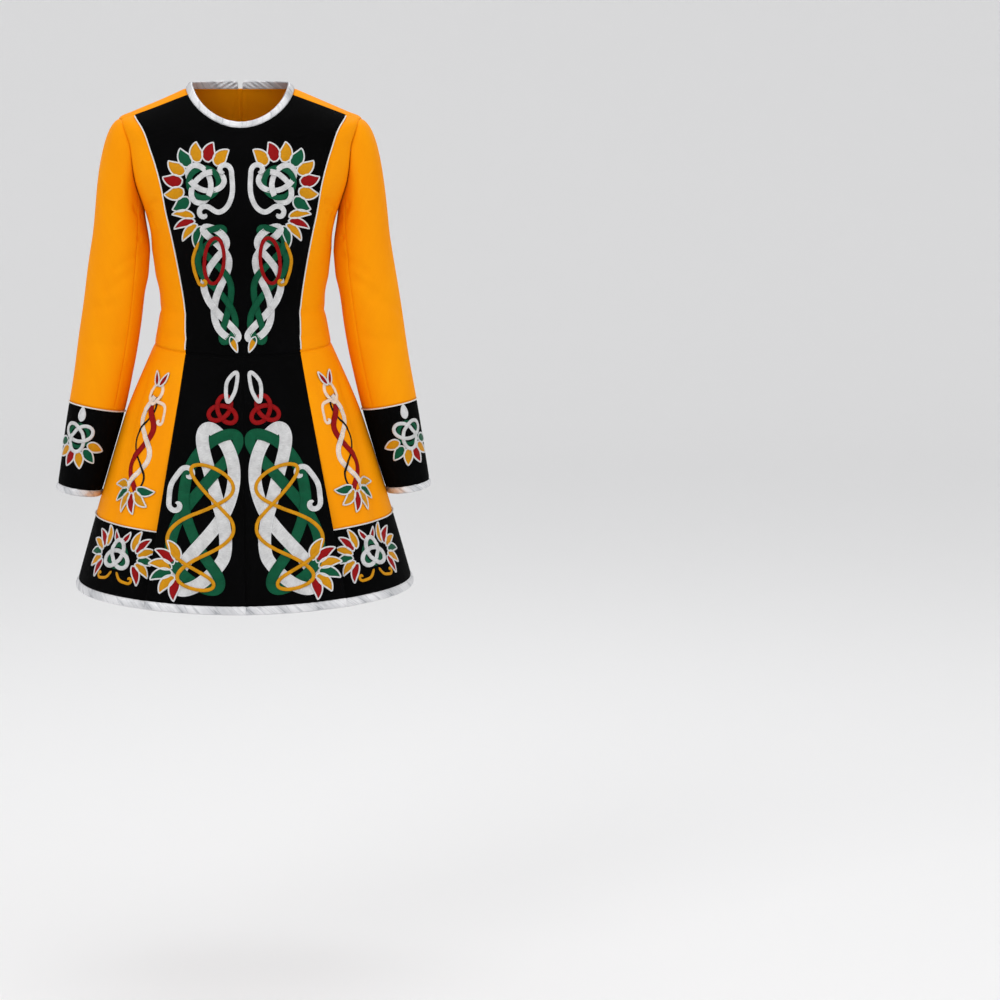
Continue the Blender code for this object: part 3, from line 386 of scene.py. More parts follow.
creases = np.array([[float(v) for v in line.split()] for line in creaseRows.strip().splitlines()[1:]]) / 1000
creaseSizes = {"strength": 1.8, "reach": 0.030, "uneven": 0.00035}


def creaseLift(points, normals):
    # minus the sum of depth * exp(-(distance to the line / width)^2), and a slow unevenness; the distance is
    # taken along the cloth, and a line further than the reach above or below the cloth leaves it alone
    lift = np.zeros(points.shape[:-1])
    for row in creases:
        start, along = row[:3], row[3:6] - row[:3]
        share = np.clip((points - start) @ along / (along @ along), 0, 1)
        offset = points - start - share[..., None] * along
        above = np.sum(offset * normals, axis=-1)
        square = np.sum(offset * offset, axis=-1) - above ** 2
        fade = np.exp(-square / row[6] ** 2 - (above / creaseSizes["reach"]) ** 4)
        lift -= creaseSizes["strength"] * row[7] * fade
    x, y, z = points[..., 0], points[..., 1], points[..., 2]
    slow = np.sin(31 * x + 17 * z + 1.3) * np.sin(23 * y - 29 * z) + 0.6 * np.sin(57 * x - 41 * y + 37 * z)
    return lift + creaseSizes["uneven"] * slow


def raised(points, normals, lift):  # moved along the normals by the creases and a lift
    return points + normals * (creaseLift(points, normals) + lift)[..., None]


# grids of points and the pieces made of them

def shares(count, crowd=0.6):  # 0 to 1, closer together near both ends
    even = np.linspace(0, 1, count)
    return even * (1 - crowd) + crowd * (1 - np.cos(math.pi * even)) / 2


def arcs(grid, axis):  # length along the grid's lines from their first point
    step = np.linalg.norm(np.diff(grid, axis=axis), axis=-1)
    zero = np.zeros_like(np.take(step, [0], axis=axis))
    return np.cumsum(np.concatenate((zero, step), axis=axis), axis=axis)


def gridNormals(grid, closed=False):  # cross product of the differences along rows and columns
    wide = np.concatenate((grid[:, -1:], grid, grid[:, :1]), axis=1) if closed else grid
    across = np.gradient(wide, axis=1)
    across = across[:, 1:-1] if closed else across
    return unit(np.cross(across, np.gradient(grid, axis=0)))


def seamDip(grid, closed, amount):
    # the cloth turns in at its seams: -dip * exp(-(distance / reach)^2)
    up = arcs(grid, 0)
    distance = np.minimum(up, up[-1:] - up)
    if not closed:
        side = arcs(grid, 1)
        distance = np.minimum(distance, np.minimum(side, side[:, -1:] - side))
    return -amount * seamSizes["dip"] * np.exp(-(distance / seamSizes["dipReach"]) ** 2)


def lapEdges(grid, closed):  # the outer lines reach just past the seam
    result = grid.copy()
    ends = ((0, 1), (-1, -2))
    for edge, inner in ends:
        result[edge] -= unit(grid[inner] - grid[edge]) * seamSizes["overlap"]
    for edge, inner in () if closed else ends:
        result[:, edge] -= unit(grid[:, inner] - grid[:, edge]) * seamSizes["overlap"]
    return result


def onSide(points, normals, side):  # a left grid as it is, or mirrored to the right with its columns turned
    return points[:, ::side] * (side, 1, 1), normals[:, ::side] * (side, 1, 1)


def cross2(first, second):
    return first[..., 0] * second[..., 1] - first[..., 1] * second[..., 0]


def crossings(first, second):  # places along two lines, counted in points, where they cross
    firstStep, secondStep = np.diff(first, axis=0)[:, None], np.diff(second, axis=0)[None]
    between = second[None, :-1] - first[:-1, None]
    scale = cross2(firstStep, secondStep)
    scale = np.where(np.abs(scale) < 1e-15, 1e-15, scale)
    onFirst, onSecond = cross2(between, secondStep) / scale, cross2(between, firstStep) / scale
    hit = (onFirst >= 0) & (onFirst < 1) & (onSecond >= 0) & (onSecond < 1)
    rows, columns = np.nonzero(hit)
    return rows + onFirst[rows, columns], columns + onSecond[rows, columns]


def gridFaces(rows, columns, closed=False, closedRows=False):
    index = np.arange(rows * columns).reshape(rows, columns)
    if closed:
        index = np.concatenate((index, index[:, :1]), axis=1)
    if closedRows:
        index = np.concatenate((index, index[:1]), axis=0)
    corners = (index[:-1, :-1], index[:-1, 1:], index[1:, 1:], index[1:, :-1])
    return np.stack(corners, axis=-1).reshape(-1, 4)


madeObjects = {}


def makePiece(name, points, faces, uv, finishes, nodes=(), body="garment",
              finishIndex=None):
    # points (n, 3), quads (m, 4) or a list of faces, uv (n, 2) in metres, finishes in slot order
    faceList = faces.tolist() if isinstance(faces, np.ndarray) else faces
    mesh = bpy.data.meshes.new(name)
    mesh.from_pydata(points.reshape(-1, 3).tolist(), [], faceList)
    isGrid = isinstance(faces, np.ndarray)
    flat = faces.ravel() if isGrid else np.concatenate([np.asarray(face) for face in faceList])
    layer = mesh.uv_layers.new(name="cloth")
    layer.data.foreach_set("uv", uv.reshape(-1, 2)[flat].astype(np.float32).ravel())
    for finish in finishes if isinstance(finishes, (list, tuple)) else [finishes]:
        mesh.materials.append(finish)
    if finishIndex is not None:
        mesh.polygons.foreach_set("material_index", np.asarray(finishIndex, dtype=np.int32))
    mesh.shade_smooth()
    item = bpy.data.objects.new(name, mesh)
    bpy.context.scene.collection.objects.link(item)
    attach(item, body)
    if nodes:
        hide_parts(*nodes)
    madeObjects[name] = item
    return item


clothWall = 0.0013


def clothPiece(name, base, normals, finish, nodes, closed=False, lift=0.0, slot="yellow_satin", side=1,
               dip=1.0):
    # one cut piece: its surface moved along the normals by creases, seams and lift, then its wall inwards
    base, normals = onSide(base, normals, side)
    if isinstance(lift, np.ndarray):
        lift = lift[:, ::side]
    moved = base + normals * (creaseLift(base, normals) + seamDip(base, closed, dip) + lift)[..., None]
    moved = lapEdges(moved, closed)
    across, along = arcs(base, 1), arcs(base, 0)
    uv = np.stack((across, along), axis=-1)
    faces = gridFaces(*base.shape[:2], closed)
    solid = makePiece(name, moved, faces, uv, finish, nodes).modifiers.new("wall", "SOLIDIFY")
    solid.thickness, solid.offset = clothWall, -1
    girth = across[:, -1] + (np.linalg.norm(base[:, 0] - base[:, -1], axis=-1) if closed else 0)


# shader maths

def feed(tree, slot, value):  # an input linked to a Shade or set to a plain value
    if isinstance(value, Shade):
        tree.links.new(value.socket, slot)
    else:
        slot.default_value = value


class Shade:  # one output socket; operators on it add Math nodes
    def __init__(self, tree, socket):
        self.tree, self.socket = tree, socket

    def maths(self, operation, *others):
        node = self.tree.nodes.new("ShaderNodeMath")
        node.operation = operation
        for slot, value in zip(node.inputs, (self, *others)):
            feed(self.tree, slot, value)
        return Shade(self.tree, node.outputs[0])

    def __add__(self, other):
        return self.maths("ADD", other)

    def __sub__(self, other):
        return self.maths("SUBTRACT", other)

    def __rsub__(self, other):
        return (self * -1.0).maths("ADD", other)

    def __mul__(self, other):
        return self.maths("MULTIPLY", other)

    __radd__, __rmul__ = __add__, __mul__

    def __truediv__(self, other):
        return self.maths("DIVIDE", other)

    def sine(self):
        return self.maths("SINE")

    def size(self):
        return self.maths("ABSOLUTE")

    def between(self, low, high):  # 0 below low, 1 above high
        return ((self - low) / (high - low)).maths("MAXIMUM", 0.0).maths("MINIMUM", 1.0)


shaderInputs = {"baseColor": "Base Color", "roughness": "Roughness", "metallic": "Metallic",
                "normal": "Normal", "specular": "Specular IOR Level"}


class Finish:  # one material: its tree, its Principled shader and ways to add nodes
    def __init__(self, name):
        self.material = bpy.data.materials.new(name)
        self.material.use_nodes = True
        self.tree = self.material.node_tree
        self.shader = self.tree.nodes["Principled BSDF"]

    def node(self, kind, settings=None, values=None):
        node = self.tree.nodes.new(kind)
        for key, value in (settings or {}).items():
            setattr(node, key, value)
        for key, value in (values or {}).items():
            feed(self.tree, node.inputs[key], value)
        return Shade(self.tree, node.outputs[0])

    def put(self, **sockets):
        for key, value in sockets.items():
            feed(self.tree, self.shader.inputs[shaderInputs[key]], value)

    def onCloth(self):  # the place on the cloth in metres: as a vector, across and along
        uv = self.node("ShaderNodeUVMap", {"uv_map": "cloth"})
        node = self.tree.nodes.new("ShaderNodeSeparateXYZ")
        self.tree.links.new(uv.socket, node.inputs[0])
        return uv, Shade(self.tree, node.outputs[0]), Shade(self.tree, node.outputs[1])

    def noise(self, vector, scale, detail, roughness=0.5):
        return self.node("ShaderNodeTexNoise", None,
                         {"Vector": vector, "Scale": scale, "Detail": detail, "Roughness": roughness})

    def scaled(self, vector, factors):  # a vector times one factor on each axis
        return self.node("ShaderNodeVectorMath", {"operation": "MULTIPLY"}, {0: vector, 1: factors})

    def mix(self, factor, first, second):  # two colours mixed by a value
        node = self.tree.nodes.new("ShaderNodeMix")
        node.data_type = "RGBA"
        for number, value in ((0, factor), (6, first), (7, second)):
            feed(self.tree, node.inputs[number], value)
        return Shade(self.tree, node.outputs[2])

    def bump(self, height, strength, distance):
        return self.node("ShaderNodeBump", None,
                         {"Height": height, "Strength": strength, "Distance": distance})


def tone(red, green, blue):  # a screen colour, 0 to 255, as linear light
    def channel(value):
        share = value / 255
        return share / 12.92 if share <= 0.04045 else ((share + 0.055) / 1.055) ** 2.4
    return channel(red), channel(green), channel(blue), 1.0


clothLooks = {
    "yellowGabardine": {"light": (254, 160, 0), "dark": (248, 148, 0), "rough": 0.68, "specular": 0.07},
    "blackGabardine": {"light": (7, 7, 8), "dark": (4, 4, 4), "rough": 0.88, "specular": 0.03},
}


patternSizes = {"weave": 0.0007, "lay": 0.0011, "stitch": 0.0005, "knit": 9000.0}


def clothFinish(name):
    # twill: a diagonal rib of pitch weave, broken by a fine cross thread, and a slow tone change
    look = clothLooks[name]
    finish = Finish(name)
    uv, across, along = finish.onCloth()
    rib = ((across + along) * (2 * math.pi / patternSizes["weave"])).sine()
    fine = 4 * math.pi / patternSizes["weave"]
    thread = (across * fine).sine() * (along * fine).sine()
    fuzz = finish.noise(uv, 900.0, 3.0)
    slow = finish.noise(uv, 9.0, 3.0)
    streak = finish.noise(finish.scaled(uv, (60.0, 900.0, 1.0)), 1.0, 2.0)
    tint = (slow * 0.7 + streak * 0.3).between(0.32, 0.68)
    finish.put(baseColor=finish.mix(tint, tone(*look["dark"]), tone(*look["light"])),
               roughness=look["rough"] + (fuzz - 0.5) * 0.16,
               specular=look["specular"],
               normal=finish.bump(rib * 0.5 + thread * 0.3 + fuzz, 0.22, 0.0002))
    return finish.material


def silverFinish(name):  # a metallic cloth: thin slantwise crush lines painted darker as painted crease shade, between bright and duller stretches that are painted reflection
    finish = Finish(name)
    uv, across, along = finish.onCloth()
    slant = (0.0, 0.0, math.radians(42))
    turned = finish.node("ShaderNodeMapping", {"vector_type": "POINT"}, {0: uv, 2: slant})
    crush = finish.noise(finish.scaled(turned, (7.0, 120.0, 1.0)), 1.0, 1.0, 0.4)
    slow = finish.noise(finish.scaled(turned, (5.0, 50.0, 1.0)), 1.0, 1.0, 0.4)
    # painted shade and reflection: dark thin lines where the crush noise crosses its middle stand for crease
    # shade, and the slow noise gives brighter and duller stretches as painted reflection
    lines = (crush - 0.5).size().between(0.0, 0.024)
    shade = lines * 0.45 + slow.between(0.36, 0.54) * 0.55
    knit = (across * patternSizes["knit"]).sine() * (along * patternSizes["knit"]).sine()
    finish.put(baseColor=finish.mix(shade, tone(136, 140, 146), tone(229, 229, 231)),
               metallic=0.3, roughness=0.38 - (crush - 0.5) * 0.2, specular=0.4,
               normal=finish.bump(knit * 0.03 + crush, 0.4, 0.002))
    return finish.material


def cordFinish(name, colour, shine):  # a twisted cord: the lay runs slantwise over it, and its grooves are painted darker as painted shade
    finish = Finish(name)
    uv, across, along = finish.onCloth()
    lay = ((across * 1.0 + along * 0.6) * (2 * math.pi / patternSizes["lay"])).sine()
    worn = finish.noise(uv, 260.0, 2.0)
    # painted shade: the colour drops to 0.82 of itself in the low grooves of the lay
    finish.put(baseColor=finish.mix(lay.between(-1.0, 0.4), tone(*[c * 0.82 for c in colour]), tone(*colour)),
               roughness=0.5 - shine + (worn - 0.5) * 0.2, metallic=shine,
               normal=finish.bump(lay, 0.5, 0.0003))
    return finish.material


def coatedFinish(name, colour, shine):  # painted metal, faintly scratched
    finish = Finish(name)
    uv, _, _ = finish.onCloth()
    scratch = finish.noise(finish.scaled(uv, (900.0, 200.0, 1.0)), 1.0, 3.0)
    finish.put(baseColor=tone(*colour), metallic=shine, roughness=0.32 + (scratch - 0.5) * 0.3,
               normal=finish.bump(scratch, 0.1, 0.0001))
    return finish.material


yellowCloth, blackCloth = clothFinish("yellowGabardine"), clothFinish("blackGabardine")
silverCloth = silverFinish("silverLame")
whiteCord = cordFinish("whiteCord", (250, 248, 242), 0.05)
silverThread = cordFinish("silverThread", (214, 215, 217), 0.2)
yellowThread = cordFinish("yellowThread", (236, 146, 6), 0.0)
zipMetal = coatedFinish("zipMetal", (228, 150, 18), 0.35)
zipEnamel = coatedFinish("zipEnamel", (206, 128, 6), 0.35)
print("materials ready")


# bodice

bodiceSizes = {"rows": 104, "frontColumns": 76, "sideColumns": 34, "backColumns": 80, "ridge": 0.0005,
               "ridgeAt": 0.0035, "ridgeShare": 0.6, "groove": 0.0004, "grooveReach": 0.0012,
               "stitchAt": 0.0100}


def ringPiece(name, table, paths, angles, finish, node, side=1, lift=0.0, slot="yellow_satin"):
    # a piece on the body's rings; the right one is worked out at minus the angle and turned round
    if side < 0:
        angles = -angles[:, ::-1]
        paths = np.broadcast_to(paths, angles.shape)[:, ::-1]
        lift = np.broadcast_to(lift, angles.shape)[:, ::-1]
    paths, angles = np.broadcast_arrays(paths, angles)
    clothPiece(name, *onRing(table, paths, angles), finish, [node], lift=lift, slot=slot)


def placket(distance):
    # the cloth turned in beside the zip: a soft ridge, then a groove where it is stitched down
    sizes = bodiceSizes
    fromRidge = (distance - sizes["ridgeAt"]) / sizes["ridgeAt"] / sizes["ridgeShare"]
    ridge = sizes["ridge"] * np.exp(-fromRidge ** 2)
    fromStitch = (distance - sizes["stitchAt"]) / sizes["grooveReach"]
    return ridge - sizes["groove"] * np.exp(-fromStitch ** 2)


def makeBodice():
    low, tip, top = seamSizes["underarmRise"], seamSizes["shoulderRise"], seamSizes["princessTop"]
    rows = bodiceSizes["rows"]
    rises = shares(rows, 0.3)[:, None]
    edge = frontEdge(rises)
    across = 2 * shares(bodiceSizes["frontColumns"]) - 1
    ringPiece("bodiceFront", bodice, rises, edge * across, blackCloth, "bodice_front", slot="black_crepe")

    turns = math.pi * (1 - shares(rows // 2, 0.2))  # armhole from the underarm to the tip
    armRise, frontAngle = armhole(turns)
    backAngle = armhole(-turns)[1]
    lowRises = np.linspace(0, low, rows // 2 + 1)[:-1]
    leftRises = np.concatenate((lowRises, low + (armRise - low) * (top - low) / (tip - low)))[:, None]
    rightRises = np.concatenate((lowRises, armRise))[:, None]
    rightAngles = np.concatenate((np.full(len(lowRises), seamSizes["side"]), frontAngle))[:, None]
    share = shares(bodiceSizes["sideColumns"])
    start = frontEdge(np.minimum(leftRises, top - 1e-5))
    paths = leftRises + (rightRises - leftRises) * share
    angles = start + (rightAngles - start) * share
    for side, word in bothSides:
        ringPiece("bodiceSideFront." + word, bodice, paths, angles, yellowCloth,
                  "bodice_side_front_" + word, side)

    upper = np.linspace(tip, 1.0, rows // 4)[1:]
    backRises = np.concatenate((lowRises, armRise, upper))[:, None]
    sideSeam = np.full(len(lowRises), seamSizes["side"])
    edges = np.concatenate((sideSeam, backAngle, shoulderSeam(upper)))[:, None]
    angles = edges + (math.pi - edges) * shares(bodiceSizes["backColumns"], 0.8)
    fromMiddle = (math.pi - angles) * bodice.at("back", backRises)
    for side, word in bothSides:
        ringPiece("bodiceBack." + word, bodice, backRises, angles, yellowCloth, "bodice_back_" + word, side,
                  lift=placket(fromMiddle))


makeBodice()
print("bodice ready")


# sleeves and cuffs

sleeveSizes = {"seam": math.radians(130), "cuffSeam": 0.6575, "bindingTop": 0.9775, "capRows": 34,
               "armRows": 52, "topColumns": 60, "underColumns": 34, "cuffColumns": 96, "cuffRows": 26,
               "downPoints": 400}


def makeSleeves():
    half = sleeveSizes["seam"]
    capShares = np.linspace(0, 1, sleeveSizes["capRows"])[:-1, None]
    armDowns = np.linspace(0, sleeveSizes["cuffSeam"], sleeveSizes["armRows"])[:, None]
    cuffDowns = np.linspace(sleeveSizes["cuffSeam"], sleeveSizes["bindingTop"], sleeveSizes["cuffRows"])
    cuffDowns = cuffDowns[:, None]
    parts = (("sleeveTop", "sleeve_top_", -half, half, sleeveSizes["topColumns"]),
             ("sleeveUnder", "sleeve_under_", half, 2 * math.pi - half, sleeveSizes["underColumns"]))
    for name, node, start, stop, columns in parts:
        around = (start + (stop - start) * shares(columns))[None]
        cap = sleeveCap(capShares, np.broadcast_to(around, (len(capShares), columns)))
        base = np.concatenate((cap, sleeveRing(armDowns, around)))
        for side, word in bothSides:
            clothPiece(name + "." + word, base, gridNormals(base), yellowCloth, [node + word], side=side)
    around = fullTurn(sleeveSizes["cuffColumns"])[None]
    base = sleeveRing(cuffDowns, around)
    for side, word in bothSides:
        clothPiece("cuff." + word, base, gridNormals(base, closed=True), blackCloth, ["cuff_" + word],
                   closed=True, side=side, slot="black_crepe")


makeSleeves()
print("sleeves ready")


# skirt

skirtParts = (
    # piece, node, panel, edge column, behind, cloth
    ("Front", "front", centrePanel, "front_edge", False, "black"),
    ("SideFront", "side_front", sidePanel, "front_edge", False, "yellow"),
    ("SideBack", "side_back", sidePanel, "back_edge", True, "yellow"),
    ("Back", "back", centrePanel, "back_edge", True, "yellow"),
)


def skirtGrid(panel, downs, share, edgeName, behind):
    # rows up and columns to the left, so that it faces outwards
    angle, fold = panel(downs[::-1, None], share[None], edgeName, behind)
    downs = np.broadcast_to(downs[::-1, None], angle.shape)
    grids = [*onRing(skirt, downs, angle), fold[..., None]]
    return grids if angle[0, -1] > angle[0, 0] else [grid[:, ::-1] for grid in grids]


def makeSkirt():
    bandTop, bindingTop = pleatSizes["bandTop"], pleatSizes["bindingTop"]
    skirtLines, bandLines = pleatSizes["skirtLines"], pleatSizes["bandLines"]
    for name, node, panel, edgeName, behind, cloth in skirtParts:
        share = shares(pleatSizes["columns"])
        black = cloth == "black"
        panels = [("skirt" + name, "skirt_" + node, 0.0, bindingTop if black else bandTop, skirtLines, black)]
        if not black:
            panels.append(("hemBand" + name, "hem_band_" + node, bandTop, bindingTop, bandLines, True))
        for piece, cad, start, stop, rows, isBlack in panels:
            base, normals, fold = skirtGrid(panel, np.linspace(start, stop, rows), share, edgeName, behind)
            for side, word in bothSides:
                clothPiece(piece + "." + word, base, normals, blackCloth if isBlack else yellowCloth,
                           [cad + "_" + word], lift=fold[..., 0], side=side,
                           slot="black_crepe" if isBlack else "yellow_satin")


makeSkirt()
print("skirt ready")


# bindings: silver strips folded over the edges

bindingSizes = {"wall": 0.0030, "rise": 0.0006, "puff": 0.0009, "wrinkle": 0.0005, "pitch": 0.0125,
                "across": 11, "halfGap": 0.0035, "neckBack": 0.062, "corner": 0.005, "cornerCut": 0.55,
                "seamShare": 0.02, "neckColumns": 220, "cuffColumns": 160, "edge": 0.4}
crinkleWaves = ((0.9, 1.0, 0.0), (1.5, 0.6, 2.1), (-0.7, 0.45, 4.4))  # slant, share, phase


def crinkle(along, across, seed):  # crossing slanted waves, each swelling and fading along the strip
    total = np.zeros_like(along)
    for k, (slant, share, phase) in enumerate(crinkleWaves):
        phase += seed
        wobble = 1.6 * np.sin(along * (37 + 11 * k) + phase)
        wobble = wobble + 0.9 * np.sin(along * (91 - 17 * k) + 2 * phase)
        swell = 0.55 + 0.45 * np.sin(along * (53 + 7 * k) + 3 * phase)
        fold = 2 * math.pi * (along + slant * across) / bindingSizes["pitch"]
        total += share * swell * np.sin(fold + wobble)
    return total


stitchLines = {"silver": [], "yellow": []}


def stripPiece(name, base, normals, node, stitched, seed, closed=False, wall=bindingSizes["wall"],
               rise=bindingSizes["rise"]):
    # base rows run across the strip, columns along it; the section is the outer side, a round edge, the inner
    # side and the other round edge, so the strip is a closed band; stitched is the row that is sewn down
    columns = base.shape[1]
    across, along = arcs(base, 0), arcs(base, 1)
    share = across / np.maximum(across[-1:], 1e-9)
    puff = bindingSizes["puff"] * (1 - np.abs(2 * share - 1) ** 3)
    wrinkle = bindingSizes["wrinkle"] * crinkle(along, across, seed) * (1 - np.abs(2 * share - 1) ** 4)
    outer = base + normals * (creaseLift(base, normals) + rise + puff + wrinkle)[..., None]
    stitchLines["silver"].append((outer[stitched], normals[stitched]))
    inner = (outer - normals * (wall + puff)[..., None])[::-1]
    last = unit(outer[-1] - outer[-2]) * wall * bindingSizes["edge"] + (outer[-1] + inner[0]) / 2
    first = unit(outer[0] - outer[1]) * wall * bindingSizes["edge"] + (outer[0] + inner[-1]) / 2
    points = np.concatenate((outer, last[None], inner, first[None]))
    depth = np.concatenate((across, across[-1:] + wall, 2 * across[-1:] - across[::-1] + 2 * wall,
                            2 * across[-1:] + 3 * wall))
    length = np.concatenate((along, along[:1], along[::-1] * 0 + along[:1], along[:1]))
    uv = np.stack((length, depth), axis=-1)
    count = len(points)
    faces = gridFaces(count, columns, closed, closedRows=True)
    if not closed:
        index = np.arange(count * columns).reshape(count, columns)
        faces = faces.tolist() + [index[:, 0].tolist(), index[::-1, -1].tolist()]
    makePiece(name, points, faces, uv, silverCloth, [node])


def makeBindings():
    across = np.linspace(0, 1, bindingSizes["across"])[:, None]
    gap = math.pi - bindingSizes["halfGap"] / bindingSizes["neckBack"]
    angles = gap * (2 * shares(bindingSizes["neckColumns"], 0.5) - 1)[None]
    fromEnd = (gap - np.abs(angles)) * bindingSizes["neckBack"] / bindingSizes["corner"]
    rounded = 1 - bindingSizes["cornerCut"] * (1 - np.sqrt(1 - np.clip(1 - fromEnd, 0, 1) ** 2))
    inset = bindingSizes["seamShare"]
    paths, angles = np.broadcast_arrays(inset + (1 - inset) * across * rounded, angles)
    stripPiece("neckBinding", *onRing(neck, paths, angles), "neck_binding", 1, 0.4)
    around = fullTurn(bindingSizes["cuffColumns"])[None]
    low = sleeveSizes["bindingTop"]
    base = sleeveRing(low + (1 - low) * across, around)
    normals = gridNormals(base, closed=True)
    for side, word in bothSides:
        stripPiece("cuffBinding." + word, *onSide(base, normals, side), "cuff_binding_" + word, 1, 1.7 * side,
                   closed=True)
    top = pleatSizes["bindingTop"]
    for number, (name, node, panel, edgeName, behind, _) in enumerate(skirtParts):
        downs = top + (1 - top) * across[:, 0]
        share = np.linspace(0, 1, pleatSizes["hemColumns"])
        base, normals, fold = skirtGrid(panel, downs, share, edgeName, behind)
        base = base + normals * fold
        for side, word in bothSides:
            stripPiece("hemBinding" + name + "." + word, *onSide(base, normals, side),
                       "hem_binding_" + node + "_" + word, -2, number + 0.5 * side)


makeBindings()
print("bindings ready")


# shawl: an outline seen from behind, x across and z up, laid on the shawl's own rings

shawlSizes = {
    "binding": 0.012, "border": 0.0265, "linePoints": 161, "extension": 20, "moves": 3,
    "hemSteps": 44, "sideSteps": 110, "topSteps": 22, "scoopSteps": 40,
    "centreBottom": (0.0, -0.698), "hemCorner": (0.200, -0.630), "shoulderCorner": (0.163, -0.040),
    "neckCorner": (0.078, -0.0075), "scoopPulls": ((0.0555, -0.0595), (0.038, -0.102)),
    "scoopBottom": (0.0, -0.102), "hemPower": 2.1,
    "stripRows": 9, "bindingWall": 0.0016, "bindingRise": 0.0004, "seamDip": 0.6,
}


def shawlPoint(flat):
    x, z = flat[..., 0], flat[..., 1]
    path = pathAt(shawl, z, lambda path: angleAtX(shawl, path, x, behind=True))
    angle = angleAtX(shawl, path, x, behind=True)
    return onRing(shawl, path, angle)


def shawlOutline():  # hem, side, top and scoop of the left half, each a dense line
    sizes = shawlSizes
    share = np.linspace(0, 1, sizes["linePoints"])[:, None]
    rest = 1 - share
    bottom, corner = np.array(sizes["centreBottom"]), np.array(sizes["hemCorner"])
    shoulder, neckCorner = np.array(sizes["shoulderCorner"]), np.array(sizes["neckCorner"])
    hem = bottom + (corner - bottom) * np.hstack((share, share ** sizes["hemPower"]))
    sideZ = corner[1] + (shoulder[1] - corner[1]) * share
    side = np.hstack((shawlSide.at("x", sideZ), sideZ))
    first, second = np.array(sizes["scoopPulls"])
    scoop = neckCorner * rest ** 3 + first * 3 * share * rest ** 2 + second * 3 * share ** 2 * rest
    return {"hem": hem, "side": side, "top": shoulder + (neckCorner - shoulder) * share,
            "scoop": scoop + np.array(sizes["scoopBottom"]) * share ** 3}


outline = shawlOutline()


shawlLines = {}


def shawlLine(side, distance):
    # one side moved inwards over the shawl's surface, longer at its corners
    if (side, distance) in shawlLines:
        return shawlLines[side, distance]
    line = outline[side]
    for _ in range(shawlSizes["moves"]):
        place = shawlPoint(line)[0]
        along = np.gradient(place, axis=0)
        across = shawlPoint(line - (1e-4, 0))[0] - place
        upward = shawlPoint(line - (0, 1e-4))[0] - place
        inward = unit(np.cross(along, np.cross(upward, across)))
        line = (place + inward * distance / shawlSizes["moves"])[:, [0, 2]]
    for middleSide, end, inner in (("hem", 0, 1), ("scoop", -1, -2)):
        if side == middleSide:  # this end lies on the middle line
            line[end, 0] = 0
        else:
            line[end] += shawlSizes["extension"] * (line[end] - line[inner])
    shawlLines[side, distance] = line
    return line


def stretch(line, start, stop, steps):
    places = np.linspace(start, stop, steps + 1)
    return readLine(line, np.arange(len(line)), places)


def shawlRun(names, distances, steps):  # the named sides one after another, each cut at its corners
    lines = [shawlLine(name, distance) for name, distance in zip(names, distances)]
    points = []
    for k, line in enumerate(lines):
        start = 0.0 if k == 0 else crossings(line, lines[k - 1])[0][0]
        stop = len(line) - 1.0 if k == len(lines) - 1 else crossings(line, lines[k + 1])[0][0]
        run = stretch(line, start, stop, steps[k])
        points.append(run if k == 0 else run[1:])
    return np.concatenate(points)


def makeShawl():
    sizes = shawlSizes
    binding, border = sizes["binding"], sizes["border"]
    steps = [sizes["hemSteps"], sizes["sideSteps"], sizes["topSteps"], sizes["scoopSteps"]]
    names = ["hem", "side", "top", "scoop"]
    count = sizes["stripRows"]
    rim = np.array([shawlRun(names, [d] * 4, steps) for d in np.linspace(0, binding, count)])
    outerBorder, neckBorder = [], []
    for distance in binding + (border - binding) * shares(count, 0.5):
        low = shawlRun(["hem", "side", "top"], [distance, distance, binding], steps[:2] + [1])
        outerBorder.append(low[:-1])
        high = shawlRun(["top", "scoop"], [binding, distance], [1, steps[3]])
        neckBorder.append(high[1:])
    low = shawlRun(["hem", "side", "top", "scoop"], [border, border, binding, border], steps)
    counts = np.cumsum([0] + steps)
    bottom, right = low[:counts[1] + 1], low[counts[1]:counts[2] + 1]
    scoop = low[counts[3]:]
    top = stretch(low[counts[2]:counts[3] + 1], 0, steps[2], steps[0])
    centreSteps = steps[1] - steps[3]
    left = np.concatenate((np.linspace(bottom[0], scoop[-1], centreSteps + 1), scoop[-2::-1]))
    u = np.linspace(0, 1, len(bottom))[None, :, None]
    v = np.linspace(0, 1, len(left))[:, None, None]
    top = top[::-1]
    patch = left[:, None] * (1 - u) + right[:, None] * u + bottom[None] * (1 - v) + top[None] * v
    patch = patch - ((bottom[0] * (1 - u) + bottom[-1] * u) * (1 - v) + (top[0] * (1 - u) + top[-1] * u) * v)
    for side, word in bothSides:
        def placed(flat):  # with the columns turned so that the grid faces outwards
            return [grid[:, ::-side] * (side, 1, 1) for grid in shawlPoint(flat)]
        stripPiece("shawlBinding." + word, *placed(rim), "shawl_binding_" + word, -2, 2.0 + side,
                   wall=sizes["bindingWall"], rise=sizes["bindingRise"])
        for name, node, flat in (("shawlBorder", "shawl_border_", np.array(outerBorder)),
                                 ("shawlNeckBorder", "shawl_neck_border_", np.array(neckBorder))):
            clothPiece(name + "." + word, *placed(flat), yellowCloth, [node + word], dip=sizes["seamDip"])
        clothPiece("shawlCentre." + word, *placed(patch), blackCloth, ["shawl_centre_" + word],
                   slot="black_crepe", dip=sizes["seamDip"])


makeShawl()
print("shawl ready")


# piping: a thin white cord in the seams

pipingSizes = {"radius": 0.0011, "lift": 0.0010, "sides": 8, "seamPoints": 200, "cuffPoints": 140,
               "bandPoints": 120}


